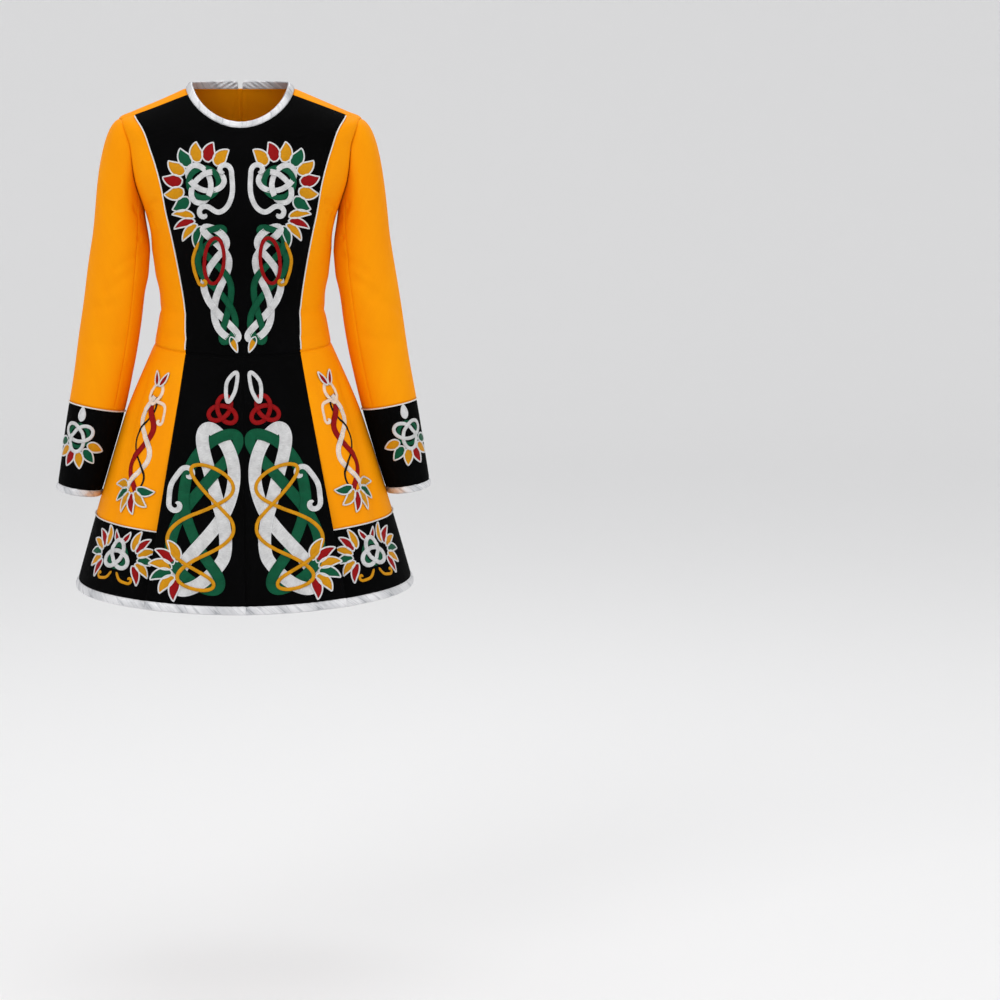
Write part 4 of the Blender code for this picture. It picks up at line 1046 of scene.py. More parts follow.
def tube(points, normals, radius, sides, closed):
    # a round section carried along the points: normal * cos + binormal * sin; returns points, uv and quads
    tangent = unit(np.gradient(np.concatenate((points[-1:], points, points[:1])), axis=0)[1:-1] if closed
                   else np.gradient(points, axis=0))
    normals = unit(normals - np.sum(normals * tangent, axis=-1, keepdims=True) * tangent)
    side = np.cross(tangent, normals)
    turn = fullTurn(sides)
    ringPoints = points[:, None] + radius * (np.cos(turn)[None, :, None] * normals[:, None]
                                             + np.sin(turn)[None, :, None] * side[:, None])
    uv = np.stack(np.broadcast_arrays(turn[None] * radius, arcs(points, 0)[:, None]), axis=-1)
    faces = gridFaces(len(points) + (1 if closed else 0), sides, closed=True)
    if closed:
        faces = faces % (len(points) * sides)
    return ringPoints.reshape(-1, 3), uv.reshape(-1, 2), faces


def cordPiece(name, line, normals, node, closed=False):
    sides = pipingSizes["sides"]
    points = raised(line, normals, pipingSizes["lift"])
    places, uv, faces = tube(points, normals, pipingSizes["radius"], sides, closed)
    faceList = faces.tolist()
    if not closed:
        faceList += [list(range(sides))[::-1], list(range(len(places) - sides, len(places)))]
    makePiece(name, places, faceList, uv, whiteCord, [node])


def makePiping():
    rises = np.linspace(0.008, seamSizes["princessTop"] - 0.005, pipingSizes["seamPoints"])
    edge = frontEdge(rises)
    around = fullTurn(pipingSizes["cuffPoints"])
    cuffLine = sleeveRing(np.full(len(around), sleeveSizes["cuffSeam"]), around)
    cuffOut = unit(cuffLine - cuffLine.mean(axis=0))
    for side, word in bothSides:
        cordPiece("bodicePiping." + word, *onRing(bodice, rises, side * edge), "bodice_piping_" + word)
        flip = (side, 1, 1)
        cordPiece("cuffPiping." + word, cuffLine * flip, cuffOut * flip, "cuff_piping_" + word, closed=True)
    for name, node, panel, edgeName, behind, cloth in skirtParts:
        if cloth == "black":
            continue
        share = np.linspace(0.01, 0.99, pipingSizes["bandPoints"])
        base, normals, fold = skirtGrid(panel, np.array([pleatSizes["bandTop"]]), share, edgeName, behind)
        base, normals = (base + normals * fold)[0], normals[0]
        for side, word in bothSides:
            flip = (side, 1, 1)
            cordPiece("bandPiping" + name + "." + word, base * flip, normals * flip,
                      "band_piping_" + node + "_" + word)


makePiping()
print("piping ready")


# applied ribbon work: a traditional interlace of plaits, rings, knots and leaves, laid on the cloth

ribbonSizes = {
    "step": 0.0025, "fineStep": 0.0017, "fineBelow": 6, "roundAbove": 3, "narrow": 0.0029, "thick": 0.0011,
    "cord": 0.0016, "edgedCord": 0.16, "plainCord": 0.10, "over": 0.0013, "clear": 0.0012, "slope": 0.0045,
    "sink": 0.0004, "leaf": 0.0007, "leafColumns": 7, "leafOutline": 0.3, "leafLine": 2.4, "tip": 0.12,
    "zoneColumns": 110, "zoneRows": 150, "minSine": 0.45,
}
threadColours = {
    # colour, metallic, roughness
    "white": ((216, 216, 216), 0.10, 0.45),
    "pale": ((246, 222, 202), 0.0, 0.5),
    "silver": ((226, 227, 228), 0.35, 0.36),
    "green": ((0, 84, 54), 0.0, 0.46),
    "red": ((150, 0, 4), 0.0, 0.46),
    "gold": ((214, 146, 8), 0.0, 0.46),
    "black": ((15, 15, 15), 0.0, 0.5),
}


def satinFinish(name, colour, shine, rough):  # stitches lie side by side across the ribbon; thread streaks lighten and darken the colour as a painted satin sheen
    finish = Finish(name)
    uv, _, along = finish.onCloth()
    stitch = (along * (2 * math.pi / patternSizes["stitch"])).sine()
    thread = finish.noise(finish.scaled(uv, (120.0, 2600.0, 1.0)), 1.0, 2.0)
    slow = finish.noise(uv, 70.0, 2.0)
    # painted sheen: the thread streaks, stretched across the ribbon, mix a darker and a lighter copy of the
    # colour; the slow noise adds a random tone change
    tint = (thread * 0.6 + slow * 0.4).between(0.34, 0.66)
    dark = tone(*[c * 0.82 for c in colour])
    light = tone(*[min(255, c * 1.05) for c in colour])
    finish.put(baseColor=finish.mix(tint, dark, light),
               roughness=rough + (thread - 0.5) * 0.25, metallic=shine, specular=0.12,
               normal=finish.bump(stitch * 0.35 + thread, 0.35, 0.00025))
    return finish.material


threads = {name: satinFinish(name + "Satin", *look) for name, look in threadColours.items()}


class Zone:  # a stretch of cloth under flat coordinates in metres: u across, v up, counted from an origin
    def __init__(self, surface, across, up, origin, side):
        self.across, self.up, self.origin = across, up, origin
        u, v = np.meshgrid(np.linspace(*across, ribbonSizes["zoneColumns"]),
                           np.linspace(*up, ribbonSizes["zoneRows"]))
        points, normals = surface(u + origin[0], v + origin[1])
        points, normals = points * (side, 1, 1), normals * (side, 1, 1)
        self.points, self.normals = raised(points, normals, 0.0), normals
        self.facing = np.sum(gridNormals(self.points) * normals, axis=-1).mean() > 0

    def at(self, u, v, lift):  # the point lift above the cloth, read bilinearly
        rows, columns = self.points.shape[:2]
        x = np.clip((u - self.across[0]) / (self.across[1] - self.across[0]), 0, 1) * (columns - 1)
        y = np.clip((v - self.up[0]) / (self.up[1] - self.up[0]), 0, 1) * (rows - 1)
        column, row = np.minimum(x.astype(int), columns - 2), np.minimum(y.astype(int), rows - 2)
        s, t = (x - column)[..., None], (y - row)[..., None]

        def read(grid):
            low = grid[row, column] * (1 - s) + grid[row, column + 1] * s
            return low * (1 - t) + (grid[row + 1, column] * (1 - s) + grid[row + 1, column + 1] * s) * t
        return read(self.points) + unit(read(self.normals)) * lift[..., None]


def flatSurface(table, behind=False, edgeName=None):  # x and z as seen straight from the front or from behind
    def surface(x, z):
        path = pathAt(table, z, lambda path: angleAtX(table, path, x, behind))
        angle = angleAtX(table, path, x, behind)
        points, normals = onRing(table, path, angle)
        if edgeName:
            centre = math.pi if behind else 0.0
            share = np.abs(angle - centre) / np.abs(panelEdge(path, edgeName, behind) - centre)
            fold = centrePanel(path, share, edgeName, behind)[1]
            points = points + normals * fold[..., None]
        return points, normals
    return surface


def sideSurface(middle, edgeName, behind):  # u round the skirt from the angle middle, v the height
    def surface(u, v):
        path = pathAt(skirt, v, lambda path: np.full_like(path, middle))
        angle = middle + (-u if behind else u) / skirtRadius(path, np.full_like(path, middle))
        points, normals = onRing(skirt, path, angle)
        return points + normals * sideFold(path, angle, edgeName, behind)[..., None], normals
    return surface


def cuffSurface(middle):  # u round the cuff from the turn middle, v the height of the sleeve's middle
    def surface(u, v):
        downs = np.linspace(0, 1, sleeveSizes["downPoints"])
        down = np.interp(-v, -sleeve.at("z", downs), downs)
        around = middle + u / sleeve.at("half_width", down)
        points, step = sleeveRing(down, around), 1e-4
        lower, further = sleeveRing(down + step, around), sleeveRing(down, around + step)
        normals = unit(np.cross(lower - points, further - points))
        out = np.stack([np.cos(around), -np.sin(around), np.zeros_like(around)], axis=-1)
        return points, normals * np.sign(np.sum(normals * out, axis=-1, keepdims=True))
    return surface


# flat lines of the designs, in millimetres

lineCounts = {"span": 24, "oval": 120, "trefoil": 260, "plait": 400, "curl": 90, "chain": 700, "spine": 19,
              "fewest": 8}
curlShrink, curlTurns = 0.80, 0.9


def sideways(line, closed=False):  # unit vectors to the left of a flat line
    wide = np.concatenate((line[-1:], line, line[:1])) if closed else line
    along = unit(np.gradient(wide, axis=0)[1:-1] if closed else np.gradient(wide, axis=0))
    return np.stack((-along[:, 1], along[:, 0]), axis=-1)


def evenly(points, closed, step):  # the same line with its points a step apart
    line = np.concatenate((points, points[:1])) if closed else points
    length = arcs(line, 0)
    count = max(lineCounts["fewest"], int(round(length[-1] / step)))
    places = np.linspace(0, length[-1], count + 1)
    even = readLine(line, length, places)
    return even[:-1] if closed else even


def throughPoints(points, closed=False):  # Catmull-Rom curve through the points
    p = np.asarray(points, dtype=float)
    before, after = (p[-1:], p[:2]) if closed else (2 * p[:1] - p[1:2], 2 * p[-1:] - p[-2:-1])
    p = np.concatenate((before, p, after))
    t = np.linspace(0, 1, lineCounts["span"], endpoint=False)[:, None, None]
    a, b, c, d = p[:-3], p[1:-2], p[2:-1], p[3:]
    bend = (2 * a - 5 * b + 4 * c - d) * t ** 2
    curve = 0.5 * (2 * b + (c - a) * t + bend + (3 * b - a - 3 * c + d) * t ** 3)
    curve = curve.transpose(1, 0, 2).reshape(-1, 2)
    return curve if closed else np.concatenate((curve, p[-2:-1]))


def turnedTo(flat, x, z, turn):  # turned by degrees about its middle, which moves to x and z
    c, s = math.cos(math.radians(turn)), math.sin(math.radians(turn))
    return flat @ np.array([[c, s], [-s, c]]) + (x, z)


def oval(x, z, wide, high, turn=0.0):
    a = fullTurn(lineCounts["oval"])
    return turnedTo(np.stack((wide * np.cos(a), high * np.sin(a)), axis=-1), x, z, turn)


def triquetra(x, z, size, turn):  # trefoil line: sin t + 2 sin 2t, cos t - 2 cos 2t
    t = fullTurn(lineCounts["trefoil"])
    flat = np.stack((np.sin(t) + 2 * np.sin(2 * t), np.cos(t) - 2 * np.cos(2 * t)), axis=-1) * size / 3
    return turnedTo(flat, x, z, turn)


def plaitStrand(axis, wide, turns, phase):  # a sine wave carried along a curved middle line
    line = throughPoints(axis)
    t = np.linspace(0, 1, lineCounts["plait"])
    middle = readLine(line, np.linspace(0, 1, len(line)), t)
    width = np.interp(t, np.linspace(0, 1, len(wide)), wide)
    return middle + sideways(middle) * (width * np.sin(2 * math.pi * turns * t + phase))[:, None]


def curl(start, heading, radius, turns, hand):  # a spiral that leaves start in its heading and winds inwards
    t = np.linspace(0, 1, lineCounts["curl"])
    shrink = radius * (1 - curlShrink * t)
    turn = math.radians(heading) + hand * 2 * math.pi * turns * t
    step = 2 * math.pi * turns / lineCounts["curl"]
    pace = shrink[:, None] * np.stack((np.cos(turn), np.sin(turn)), axis=-1) * step
    return np.array(start) + np.cumsum(pace, axis=0) - pace[0]


def heading(line, atEnd=True):  # direction in degrees in which a line leaves at its end, or at its start
    step = line[-1] - line[-2] if atEnd else line[0] - line[1]
    return math.degrees(math.atan2(step[1], step[0]))


def withCurls(line, radius, first=None, last=None):
    # the line, with a curl at its first and last end where a hand of 1 or -1 is given
    parts = [line]
    if first:
        parts.insert(0, curl(line[0], heading(line, False), radius, curlTurns, first)[:0:-1])
    if last:
        parts.append(curl(line[-1], heading(line), radius, curlTurns, last)[1:])
    return np.concatenate(parts)


def rounded(line, closed):  # every point moved twice to the mean of itself and its neighbours, the ends kept
    for _ in range(2):
        near = (np.roll(line, 1, axis=0) + 2 * line + np.roll(line, -1, axis=0)) / 4
        line = near if closed else np.concatenate((line[:1], near[1:-1], line[-1:]))
    return line


def ribbon(points, kind, width, closed=False, tips=(0, 0), lift=0.0, onTop=False):
    step = ribbonSizes["step" if width > ribbonSizes["fineBelow"] else "fineStep"]
    line = evenly(np.asarray(points) / 1000, closed, step)
    if width > ribbonSizes["roundAbove"]:
        line = rounded(line, closed)
    return {"line": line, "kind": kind, "width": width / 1000, "step": step, "closed": closed,
            "tips": (tips[0] / 1000, tips[1] / 1000), "lift": lift / 1000, "onTop": onTop}


def chain(axis, wide, waves, shift):
    # a closed line down a middle line and back: along (1 - cos t) / 2, across wide * sin(waves * t + shift)
    line = throughPoints(axis)
    t = fullTurn(lineCounts["chain"])
    along = (1 - np.cos(t)) / 2
    share = np.linspace(0, 1, len(line))
    middle, side = readLine(line, share, along), readLine(sideways(line), share, along)
    width = np.interp(along, np.linspace(0, 1, len(wide)), wide)
    return middle + side * (width * np.sin(waves * t + shift))[:, None]


def leaf(base, tip, width, bend, kind, lift=0.0):
    # a leaf pad: its spine a parabola from base to tip, its half width rising and falling along it
    base, tip = np.array(base, float), np.array(tip, float)
    s = np.linspace(0, 1, lineCounts["spine"])
    across = np.array([-(tip - base)[1], (tip - base)[0]])
    spine = base + (tip - base) * s[:, None] + across * (4 * bend * s * (1 - s))[:, None]
    half = width / 2 * np.sin(math.pi * s ** 0.75) ** 0.8
    side = sideways(spine) * half[:, None]
    rim = np.concatenate((spine + side, (spine - side)[-2:0:-1]))
    raisedBy = lift + ribbonSizes["leafOutline"]
    outline = ribbon(rim, "silver", ribbonSizes["leafLine"], closed=True, lift=raisedBy)
    return {"spine": spine / 1000, "half": half / 1000, "kind": kind, "lift": lift / 1000, "outline": outline}


def fan(place, turns, count, reach, width, kinds, bend, lift=0.0):
    # leaves side by side round a place; turns holds the first and last direction, reach the inner and
    # outer end of every leaf
    leaves = []
    for k, way in enumerate(np.radians(np.linspace(*turns, count))):
        base, tip = [np.array(place, float) + far * np.array((math.cos(way), math.sin(way))) for far in reach]
        leaves.append(leaf(base, tip, width, bend, kinds[k % len(kinds)], lift))
    return leaves


def mirrored(design):  # the design and its mirror image as one
    strands, leaves = design
    flip = np.array((-1, 1))
    twins = [{**strand, "line": strand["line"] * flip} for strand in strands]
    other = [{**item, "spine": item["spine"] * flip,
              "outline": {**item["outline"], "line": item["outline"]["line"] * flip}} for item in leaves]
    return strands + twins, leaves + other


def weave(strands):  # for every strand, where it runs over another, alternating along it, and how far
    meets = [[] for _ in strands]
    number = 0
    lines = [np.concatenate((s["line"], s["line"][:1])) if s["closed"] else s["line"] for s in strands]
    for i, first in enumerate(lines):
        for j in range(i, len(lines)):
            if i != j and (strands[i]["onTop"] or strands[j]["onTop"]):
                continue
            for a, b in zip(*crossings(first, lines[j])):
                apart = abs(a - b)
                if i == j and (b <= a or apart < 3 or (strands[i]["closed"] and len(first) - 1 - apart < 3)):
                    continue
                way = unit(first[int(a) + 1] - first[int(a)])
                otherWay = unit(lines[j][int(b) + 1] - lines[j][int(b)])
                sine = abs(cross2(way, otherWay))
                cosine = math.sqrt(max(0.0, 1 - sine * sine))
                widths = np.array((strands[j]["width"], strands[i]["width"])) / 2
                reach = (widths + widths[::-1] * cosine) / max(sine, ribbonSizes["minSine"])
                meets[i].append((a, number, 0, reach[0], j, b))
                meets[j].append((b, number, 1, reach[1], i, a))
                number += 1
    over, overs = {}, []
    for own in meets:
        own.sort()
        votes = sum(1 if (over[n] == role) == (k % 2 == 0) else -1
                    for k, (_, n, role, *_) in enumerate(own) if n in over)
        parity = 0 if votes >= 0 else 1
        for k, (_, n, role, *_) in enumerate(own):
            over.setdefault(n, role if (k + parity) % 2 == 0 else 1 - role)
        overs.append([(place, *rest) for place, n, role, *rest in own if over[n] == role])
    return overs


def strandLifts(strands):
    # heights along every strand: over for one strand below, more where that one is lifted too; a strand on
    # top isn't woven in and lies on whatever comes before it
    overs = weave(strands)
    lifts = [np.zeros(len(strand["line"])) for strand in strands]
    for _ in range(2):
        below = [lift.copy() for lift in lifts]
        for number, strand in enumerate(strands):
            count = len(strand["line"])
            for where, reach, other, there in overs[number]:
                apart = np.abs(np.arange(count) - where)
                apart = np.minimum(apart, count - apart) if strand["closed"] else apart
                slope = ribbonSizes["slope"]
                rise = softStep((reach + ribbonSizes["clear"] + slope - apart * strand["step"]) / slope)
                height = ribbonSizes["over"] + below[other][int(there) % len(below[other])]
                lifts[number] = np.maximum(lifts[number], height * rise)
    for number, strand in enumerate(strands):
        if strand["onTop"]:
            own = lifts[number].copy()
            for other, height in zip(strands[:number], lifts[:number]):
                apart = np.linalg.norm(strand["line"][:, None] - other["line"][None], axis=-1)
                reach = (strand["width"] + other["width"]) / 2 + ribbonSizes["clear"]
                rise = softStep((reach + ribbonSizes["slope"] - apart) / ribbonSizes["slope"])
                draped = ((ribbonSizes["over"] + height) * rise).max(axis=1)
                lifts[number] = np.maximum(lifts[number], own + draped)
    return lifts


sectionShares = {
    # across the cord at an edge and across the body beside it, and heights over the cloth from there on; the
    # same for a narrow ribbon; heights are shares of the ribbon's thickness
    "cord": (0.0, 0.0, 0.35, 0.7, 1.0), "body": (0.85, 0.45), "cordMost": 0.45,
    "heights": (0.4, 1.15, 1.15, 0.6, 0.86, 1.0, 1.03),
    "dome": (-1, -1, -0.6, 0, 0.6, 1, 1), "domeHeights": (0.3, 0.88, 1.0, 0.88, 0.3),
}


def ribbonSection(half, cord):
    # across a wide ribbon: a raised cord at each edge and a flat body; a narrow one is a low dome
    sink, sizes = -ribbonSizes["sink"] / ribbonSizes["thick"], sectionShares
    if half.max() > ribbonSizes["narrow"]:
        cord = np.minimum(cord, half[:, None] * sizes["cordMost"])
        edge = -half[:, None] + cord * np.array(sizes["cord"])
        left = np.concatenate((edge, edge[:, -1:] * np.array(sizes["body"])), axis=1)
        places = np.concatenate((left, np.zeros((len(half), 1)), -left[:, ::-1]), axis=1)
        heights = np.array([sink, *sizes["heights"]])
        return places, np.concatenate((heights, heights[-2::-1])), [1] * 4 + [0] * 6 + [1] * 4
    heights = np.array([sink, *sizes["domeHeights"], sink])
    return half[:, None] * np.array(sizes["dome"]), heights, [0] * (len(heights) - 1)


def ribbonWork(name, zone, design):  # every ribbon and leaf of one design as one piece, laid on its zone
    strands, leaves = design
    work = strands + [item["outline"] for item in leaves]
    used = sorted({strand["kind"] for strand in work} | {item["kind"] for item in leaves} | {"silver"})
    points, uvs, faces, finishes = [], [], [], []

    def add(flat, heights, across, along, closed, columns):
        rows, count = flat.shape[:2]
        quads = gridFaces(rows, count, closedRows=closed) + sum(len(part) for part in points)
        lifts = np.broadcast_to(heights, (rows, count))
        points.append(zone.at(flat[..., 0], flat[..., 1], lifts).reshape(-1, 3))
        uvs.append(np.stack(np.broadcast_arrays(across, along[:, None]), axis=-1).reshape(-1, 2))
        faces.append(quads[:, ::-1] if zone.facing else quads)
        finishes.append(np.tile(columns, rows if closed else rows - 1))

    share = np.linspace(-1, 1, ribbonSizes["leafColumns"])
    for item in leaves:
        across = item["half"][:, None] * share
        flat = item["spine"][:, None] + sideways(item["spine"])[:, None] * across[..., None]
        heights = item["lift"] + ribbonSizes["leaf"] * (1 - share ** 4)
        heights = heights - ribbonSizes["sink"] * (np.abs(share) > 0.99)
        columns = np.full(len(share) - 1, used.index(item["kind"]))
        add(flat, heights, across, arcs(item["spine"], 0), False, columns)
    for strand, lift in zip(work, strandLifts(strands) + [0.0 for _ in leaves]):
        line, closed, width = strand["line"], strand["closed"], strand["width"]
        place = np.arange(len(line)) * strand["step"]
        half = np.full(len(line), width / 2)
        for tip, distance in zip(strand["tips"], (place, place[-1] - place)):
            if tip:
                blunt = ribbonSizes["tip"]
                half = half * (blunt + (1 - blunt) * np.sqrt(np.clip(distance / tip, 0, 1)))
        edged = strand["kind"] in ("white", "pale")
        cord = width * ribbonSizes["edgedCord" if edged else "plainCord"]
        places, heights, columns = ribbonSection(half, min(ribbonSizes["cord"], cord))
        flat = line[:, None] + sideways(line, closed)[:, None] * places[..., None]
        heights = (half * 0 + strand["lift"] + lift)[:, None] + heights * ribbonSizes["thick"]
        edge = used.index("silver" if edged else strand["kind"])
        add(flat, heights, places, place, closed,
            np.where(np.array(columns) == 1, edge, used.index(strand["kind"])))
    makePiece(name, np.concatenate(points), np.concatenate(faces), np.concatenate(uvs),
              [threads[kind] for kind in used], finishIndex=np.concatenate(finishes))


# the designs: x outwards from the middle and z up; those beside a middle seam are half of a mirrored pair

goldFirst, greenFirst = ("gold", "red", "gold", "green"), ("green", "gold", "red", "gold")


def twoChains(axis, wide, waves, whiteWidth, greenWidth):  # a white and a green plait that cross
    return [ribbon(chain(axis, wide, waves, math.pi / 4), "white", whiteWidth, closed=True),
            ribbon(chain(axis, wide, waves, -math.pi / 4), "green", greenWidth, closed=True)]


def bodiceDesign():
    axis, wide = [(43, -214), (45, -262), (36, -322), (19, -392)], (16, 24, 24, 17, 13)
    strands = twoChains(axis, wide, 3, 11, 10)
    strands += [ribbon(triquetra(58, -146, 32, 20), "white", 8.5, closed=True),
                ribbon(oval(58, -146, 23, 23), "green", 8.5, closed=True)]
    hook = throughPoints([(50, -183), (36, -191), (22, -182), (14, -160), (15, -128)])
    strands.append(ribbon(withCurls(hook, 12, first=-1, last=-1), "white", 8, tips=(6, 6), onTop=True))
    strands.append(ribbon(oval(43, -266, 36, 15, -85), "red", 5.5, closed=True, onTop=True))
    sprig = throughPoints([(66, -236), (76, -266), (68, -300)])
    strands.append(ribbon(withCurls(sprig, 8, last=-1), "gold", 5, tips=(10, 5), onTop=True))
    leaves = fan((58, -146), (128, -40), 8, (33, 64), 20, goldFirst, -0.12)
    leaves += fan((60, -200), (6, -76), 4, (13, 48), 12.5, goldFirst, 0.10)
    leaves += [leaf((19, -386), (9, -410), 10, 0.0, "gold", 1.4)]
    return strands, leaves


def skirtDesign():
    axis, wide = [(34, -530), (48, -585), (64, -655), (74, -720), (74, -772)], (27, 34, 42, 42, 33)
    strands = twoChains(axis, wide, 2, 20, 17)
    strands.append(ribbon(triquetra(32, -499, 24, 190), "red", 7, closed=True))
    bud = throughPoints([(25, -486), (13, -468), (10, -440), (26, -456)], closed=True)
    strands.append(ribbon(bud, "white", 6, closed=True, onTop=True))
    curls = throughPoints([(98, -590), (113, -612), (117, -640)])
    strands.append(ribbon(withCurls(curls, 12, first=1, last=-1), "white", 8, tips=(8, 8), onTop=True))
    strands.append(ribbon(chain(axis[1:], (30, 52, 46, 22), 3, 0.4), "gold", 5.5, closed=True, onTop=True))
    leaves = fan((99, -742), (66, -76), 6, (14, 49), 15.5, goldFirst, 0.12, 1.4)
    return strands, leaves


def shawlDesign():
    axis, wide = [(62, -264), (53, -335), (49, -400), (53, -470), (52, -542)], (20, 32, 31, 33, 28)
    strands = twoChains(axis, wide, 3, 15.5, 13.5)
    strands += [ribbon(triquetra(62, -246, 25, 10), "red", 7, closed=True, onTop=True),
                ribbon(chain(axis[1:4], (12, 30, 12), 2, 0.3), "gold", 5.5, closed=True, onTop=True)]
    leaves = fan((64, -231), (160, 20), 5, (9, 37), 13, greenFirst, 0.1)
    leaves += fan((52, -556), (-150, -30), 4, (8, 34), 14, goldFirst, 0.1)
    return strands, leaves


def sideDesign():
    axis, wide = [(0, -480), (2, -527), (0, -580), (-2, -628)], (5, 15, 17, 13)
    strands = [ribbon(plaitStrand(axis, wide, 1.25, 2 * math.pi * k / 3), kind, width)
               for kind, width, k in (("pale", 8, 0), ("red", 9, 1), ("black", 3.2, 2))]
    eye = chain([(0, -456), (0, -492)], (7, 10, 10, 7), 1, 0)
    strands.append(ribbon(eye, "pale", 5, closed=True, onTop=True))
    hook = throughPoints([(-4, -486), (-22, -492), (-26, -514)])
    strands.append(ribbon(withCurls(hook, 6, last=1), "pale", 5, tips=(4, 4), onTop=True))
    leaves = fan((0, -620), (-178, -2), 6, (9, 42), 13.5, greenFirst, 0.10, 1.4)
    leaves += [leaf((-2, -464), (-13, -442), 8, 0, "red", 1.4), leaf((2, -464), (13, -442), 8, 0, "red", 1.4)]
    return strands, leaves


def cuffDesign():
    strands = [ribbon(oval(0, -516, 17, 17), "green", 6, closed=True),
               ribbon(triquetra(0, -516, 25, 0), "white", 5.5, closed=True, onTop=True)]
    leaves = fan((0, -522), (-165, -15), 6, (18, 45), 15, greenFirst, 0.0)
    return strands, leaves + [leaf((0, -493), (0, -471), 11, 0, "silver")]


def bandDesign():
    wing = fan((25, 2), (76, -64), 6, (12, 44), 12.5, goldFirst, 0.10)
    curls = throughPoints([(5, -22), (14, -33), (28, -36)])
    hook = ribbon(withCurls(curls, 6, last=1), "gold", 4.5, tips=(3, 4), onTop=True)
    strands, leaves = mirrored(([hook], wing))
    strands += [ribbon(oval(0, 2, 17, 17), "green", 7, closed=True),
                ribbon(triquetra(0, 2, 25, 180), "white", 6.5, closed=True, onTop=True)]
    leaves += [leaf((-3, 24), (-16, 41), 9, 0.1, "red"), leaf((3, 24), (16, 41), 9, -0.1, "red")]
    return strands, leaves


def makeRibbonWork():
    skirtSide = sideSurface(math.radians(57), "front_edge", False)
    skirtSideBack = sideSurface(math.radians(118), "back_edge", True)
    cuffTurn, frontDown, backDown = math.radians(64), -0.728, -0.752
    cuffWide, cuffHigh, bandWide = (-0.050, 0.050), (-0.590, -0.465), (-0.078, 0.078)
    places = (
        # piece, surface, across, up, origin, design
        ("bodiceWork", flatSurface(bodice), (0.001, 0.130), (-0.425, -0.070), (0.0, 0.0), bodiceDesign),
        ("skirtWork", flatSurface(skirt, False, "front_edge"), (0.001, 0.152), (-0.800, -0.430), (0.0, 0.0),
         skirtDesign),
        ("shawlWork", flatSurface(shawl, True), (0.001, 0.110), (-0.610, -0.180), (0.0, 0.0), shawlDesign),
        ("sideWork", skirtSide, (-0.055, 0.055), (-0.685, -0.430), (0.0, 0.0), sideDesign),
        ("cuffFrontWork", cuffSurface(cuffTurn), cuffWide, cuffHigh, (0.0, -0.033), cuffDesign),
        ("cuffBackWork", cuffSurface(-cuffTurn), cuffWide, cuffHigh, (0.0, -0.033), cuffDesign),
        ("bandFrontWork", skirtSide, bandWide, (-0.060, 0.060), (0.0, frontDown), bandDesign),
        ("bandBackWork", skirtSideBack, bandWide, (-0.060, 0.060), (0.0, frontDown), bandDesign),
        ("hemBackWork", flatSurface(skirt, True, "back_edge"), bandWide, (-0.055, 0.055), (0.087, backDown),
         bandDesign),
    )
    for name, surface, across, up, origin, design in places:
        for side, word in bothSides:
            ribbonWork(name + "." + word, Zone(surface, across, up, origin, side), design())


makeRibbonWork()
print("ribbon work ready")


# zip on the centre back: a coil between the folded edges, a slider and its pull tab

zipSizes = {
    "fromNeck": 0.007, "overCloth": 0.0048, "pin": 0.0006, "pinSides": 16, "pinCore": 0.0001,
    "body": (0.0050, 0.0080, 0.0026), "bodyCentre": (0.0, 0.0020, -0.0032), "bodyBevel": 0.0007,
    "lug": (0.0009, 0.0026, 0.0036), "lugCentre": (0.00185, 0.0, -0.0005), "lugBevel": 0.0003,
    "knuckle": 0.0015, "knuckleWidth": 0.0022, "knuckleSides": 24, "knuckleBevel": 0.0002, "bore": 0.0009,
    "tabLength": 0.0283, "tabEnd": 0.0034, "tabTilt": math.radians(6), "endPoints": 31, "neckLeast": 0.00012,
    "pitch": 0.0016, "tooth": (0.0021, 0.0009, 0.0008), "toothBevel": 0.00025, "toothAside": 0.0003,
    "coilTop": 0.0105, "coilBottom": 0.150, "sunk": 0.0005, "linePoints": 400, "upperRise": 0.88,
}
tabProfile = np.array([  # distance in from the outline, height over the tab's middle
    (0.00000, 0.00000), (0.00005, 0.00030), (0.00030, 0.00060), (0.00060, 0.00070),
    (0.00085, 0.00064), (0.00100, 0.00036), (0.00125, 0.00030)])


def zipPlace(points):  # from the pin's own axes, across, down the back and out of the cloth
    neckPoint, lower = ring(bodice, 1.0, math.pi), ring(bodice, zipSizes["upperRise"], math.pi)
    down = unit(lower - neckPoint)
    out = np.cross((1.0, 0.0, 0.0), down)
    place = neckPoint + down * zipSizes["fromNeck"] + out * zipSizes["overCloth"]
    return place * (0, 1, 1) + np.asarray(points) @ np.array([(1.0, 0.0, 0.0), down, out])


def roundBox(size, centre, bevel):
    shape = bmesh.new()
    bmesh.ops.create_cube(shape, size=1, matrix=Matrix.Translation(centre) @ Matrix.Diagonal((*size, 1)))
    bmesh.ops.bevel(shape, geom=shape.edges[:], offset=bevel, segments=2, affect="EDGES", profile=0.5)
    points = np.array([corner.co[:] for corner in shape.verts])
    faces = [[corner.index for corner in face.verts] for face in shape.faces]
    shape.free()
    return points, faces


def turnedRing(profile, sides):  # a profile of x and radius turned about the x axis, closed both ways
    profile = np.asarray(profile)
    turn = fullTurn(sides)[:, None]
    x, radius = profile[None, :, 0] + 0 * turn, profile[None, :, 1]
    points = np.stack((x, radius * np.cos(turn), radius * np.sin(turn)), axis=-1)
    return points.reshape(-1, 3), gridFaces(sides, len(profile), closed=True, closedRows=True).tolist()


def joined(parts):
    points, faces, first = [], [], 0
    for places, quads in parts:
        points.append(places)
        faces += [[first + corner for corner in face] for face in quads]
        first += len(places)
    return np.concatenate(points), faces


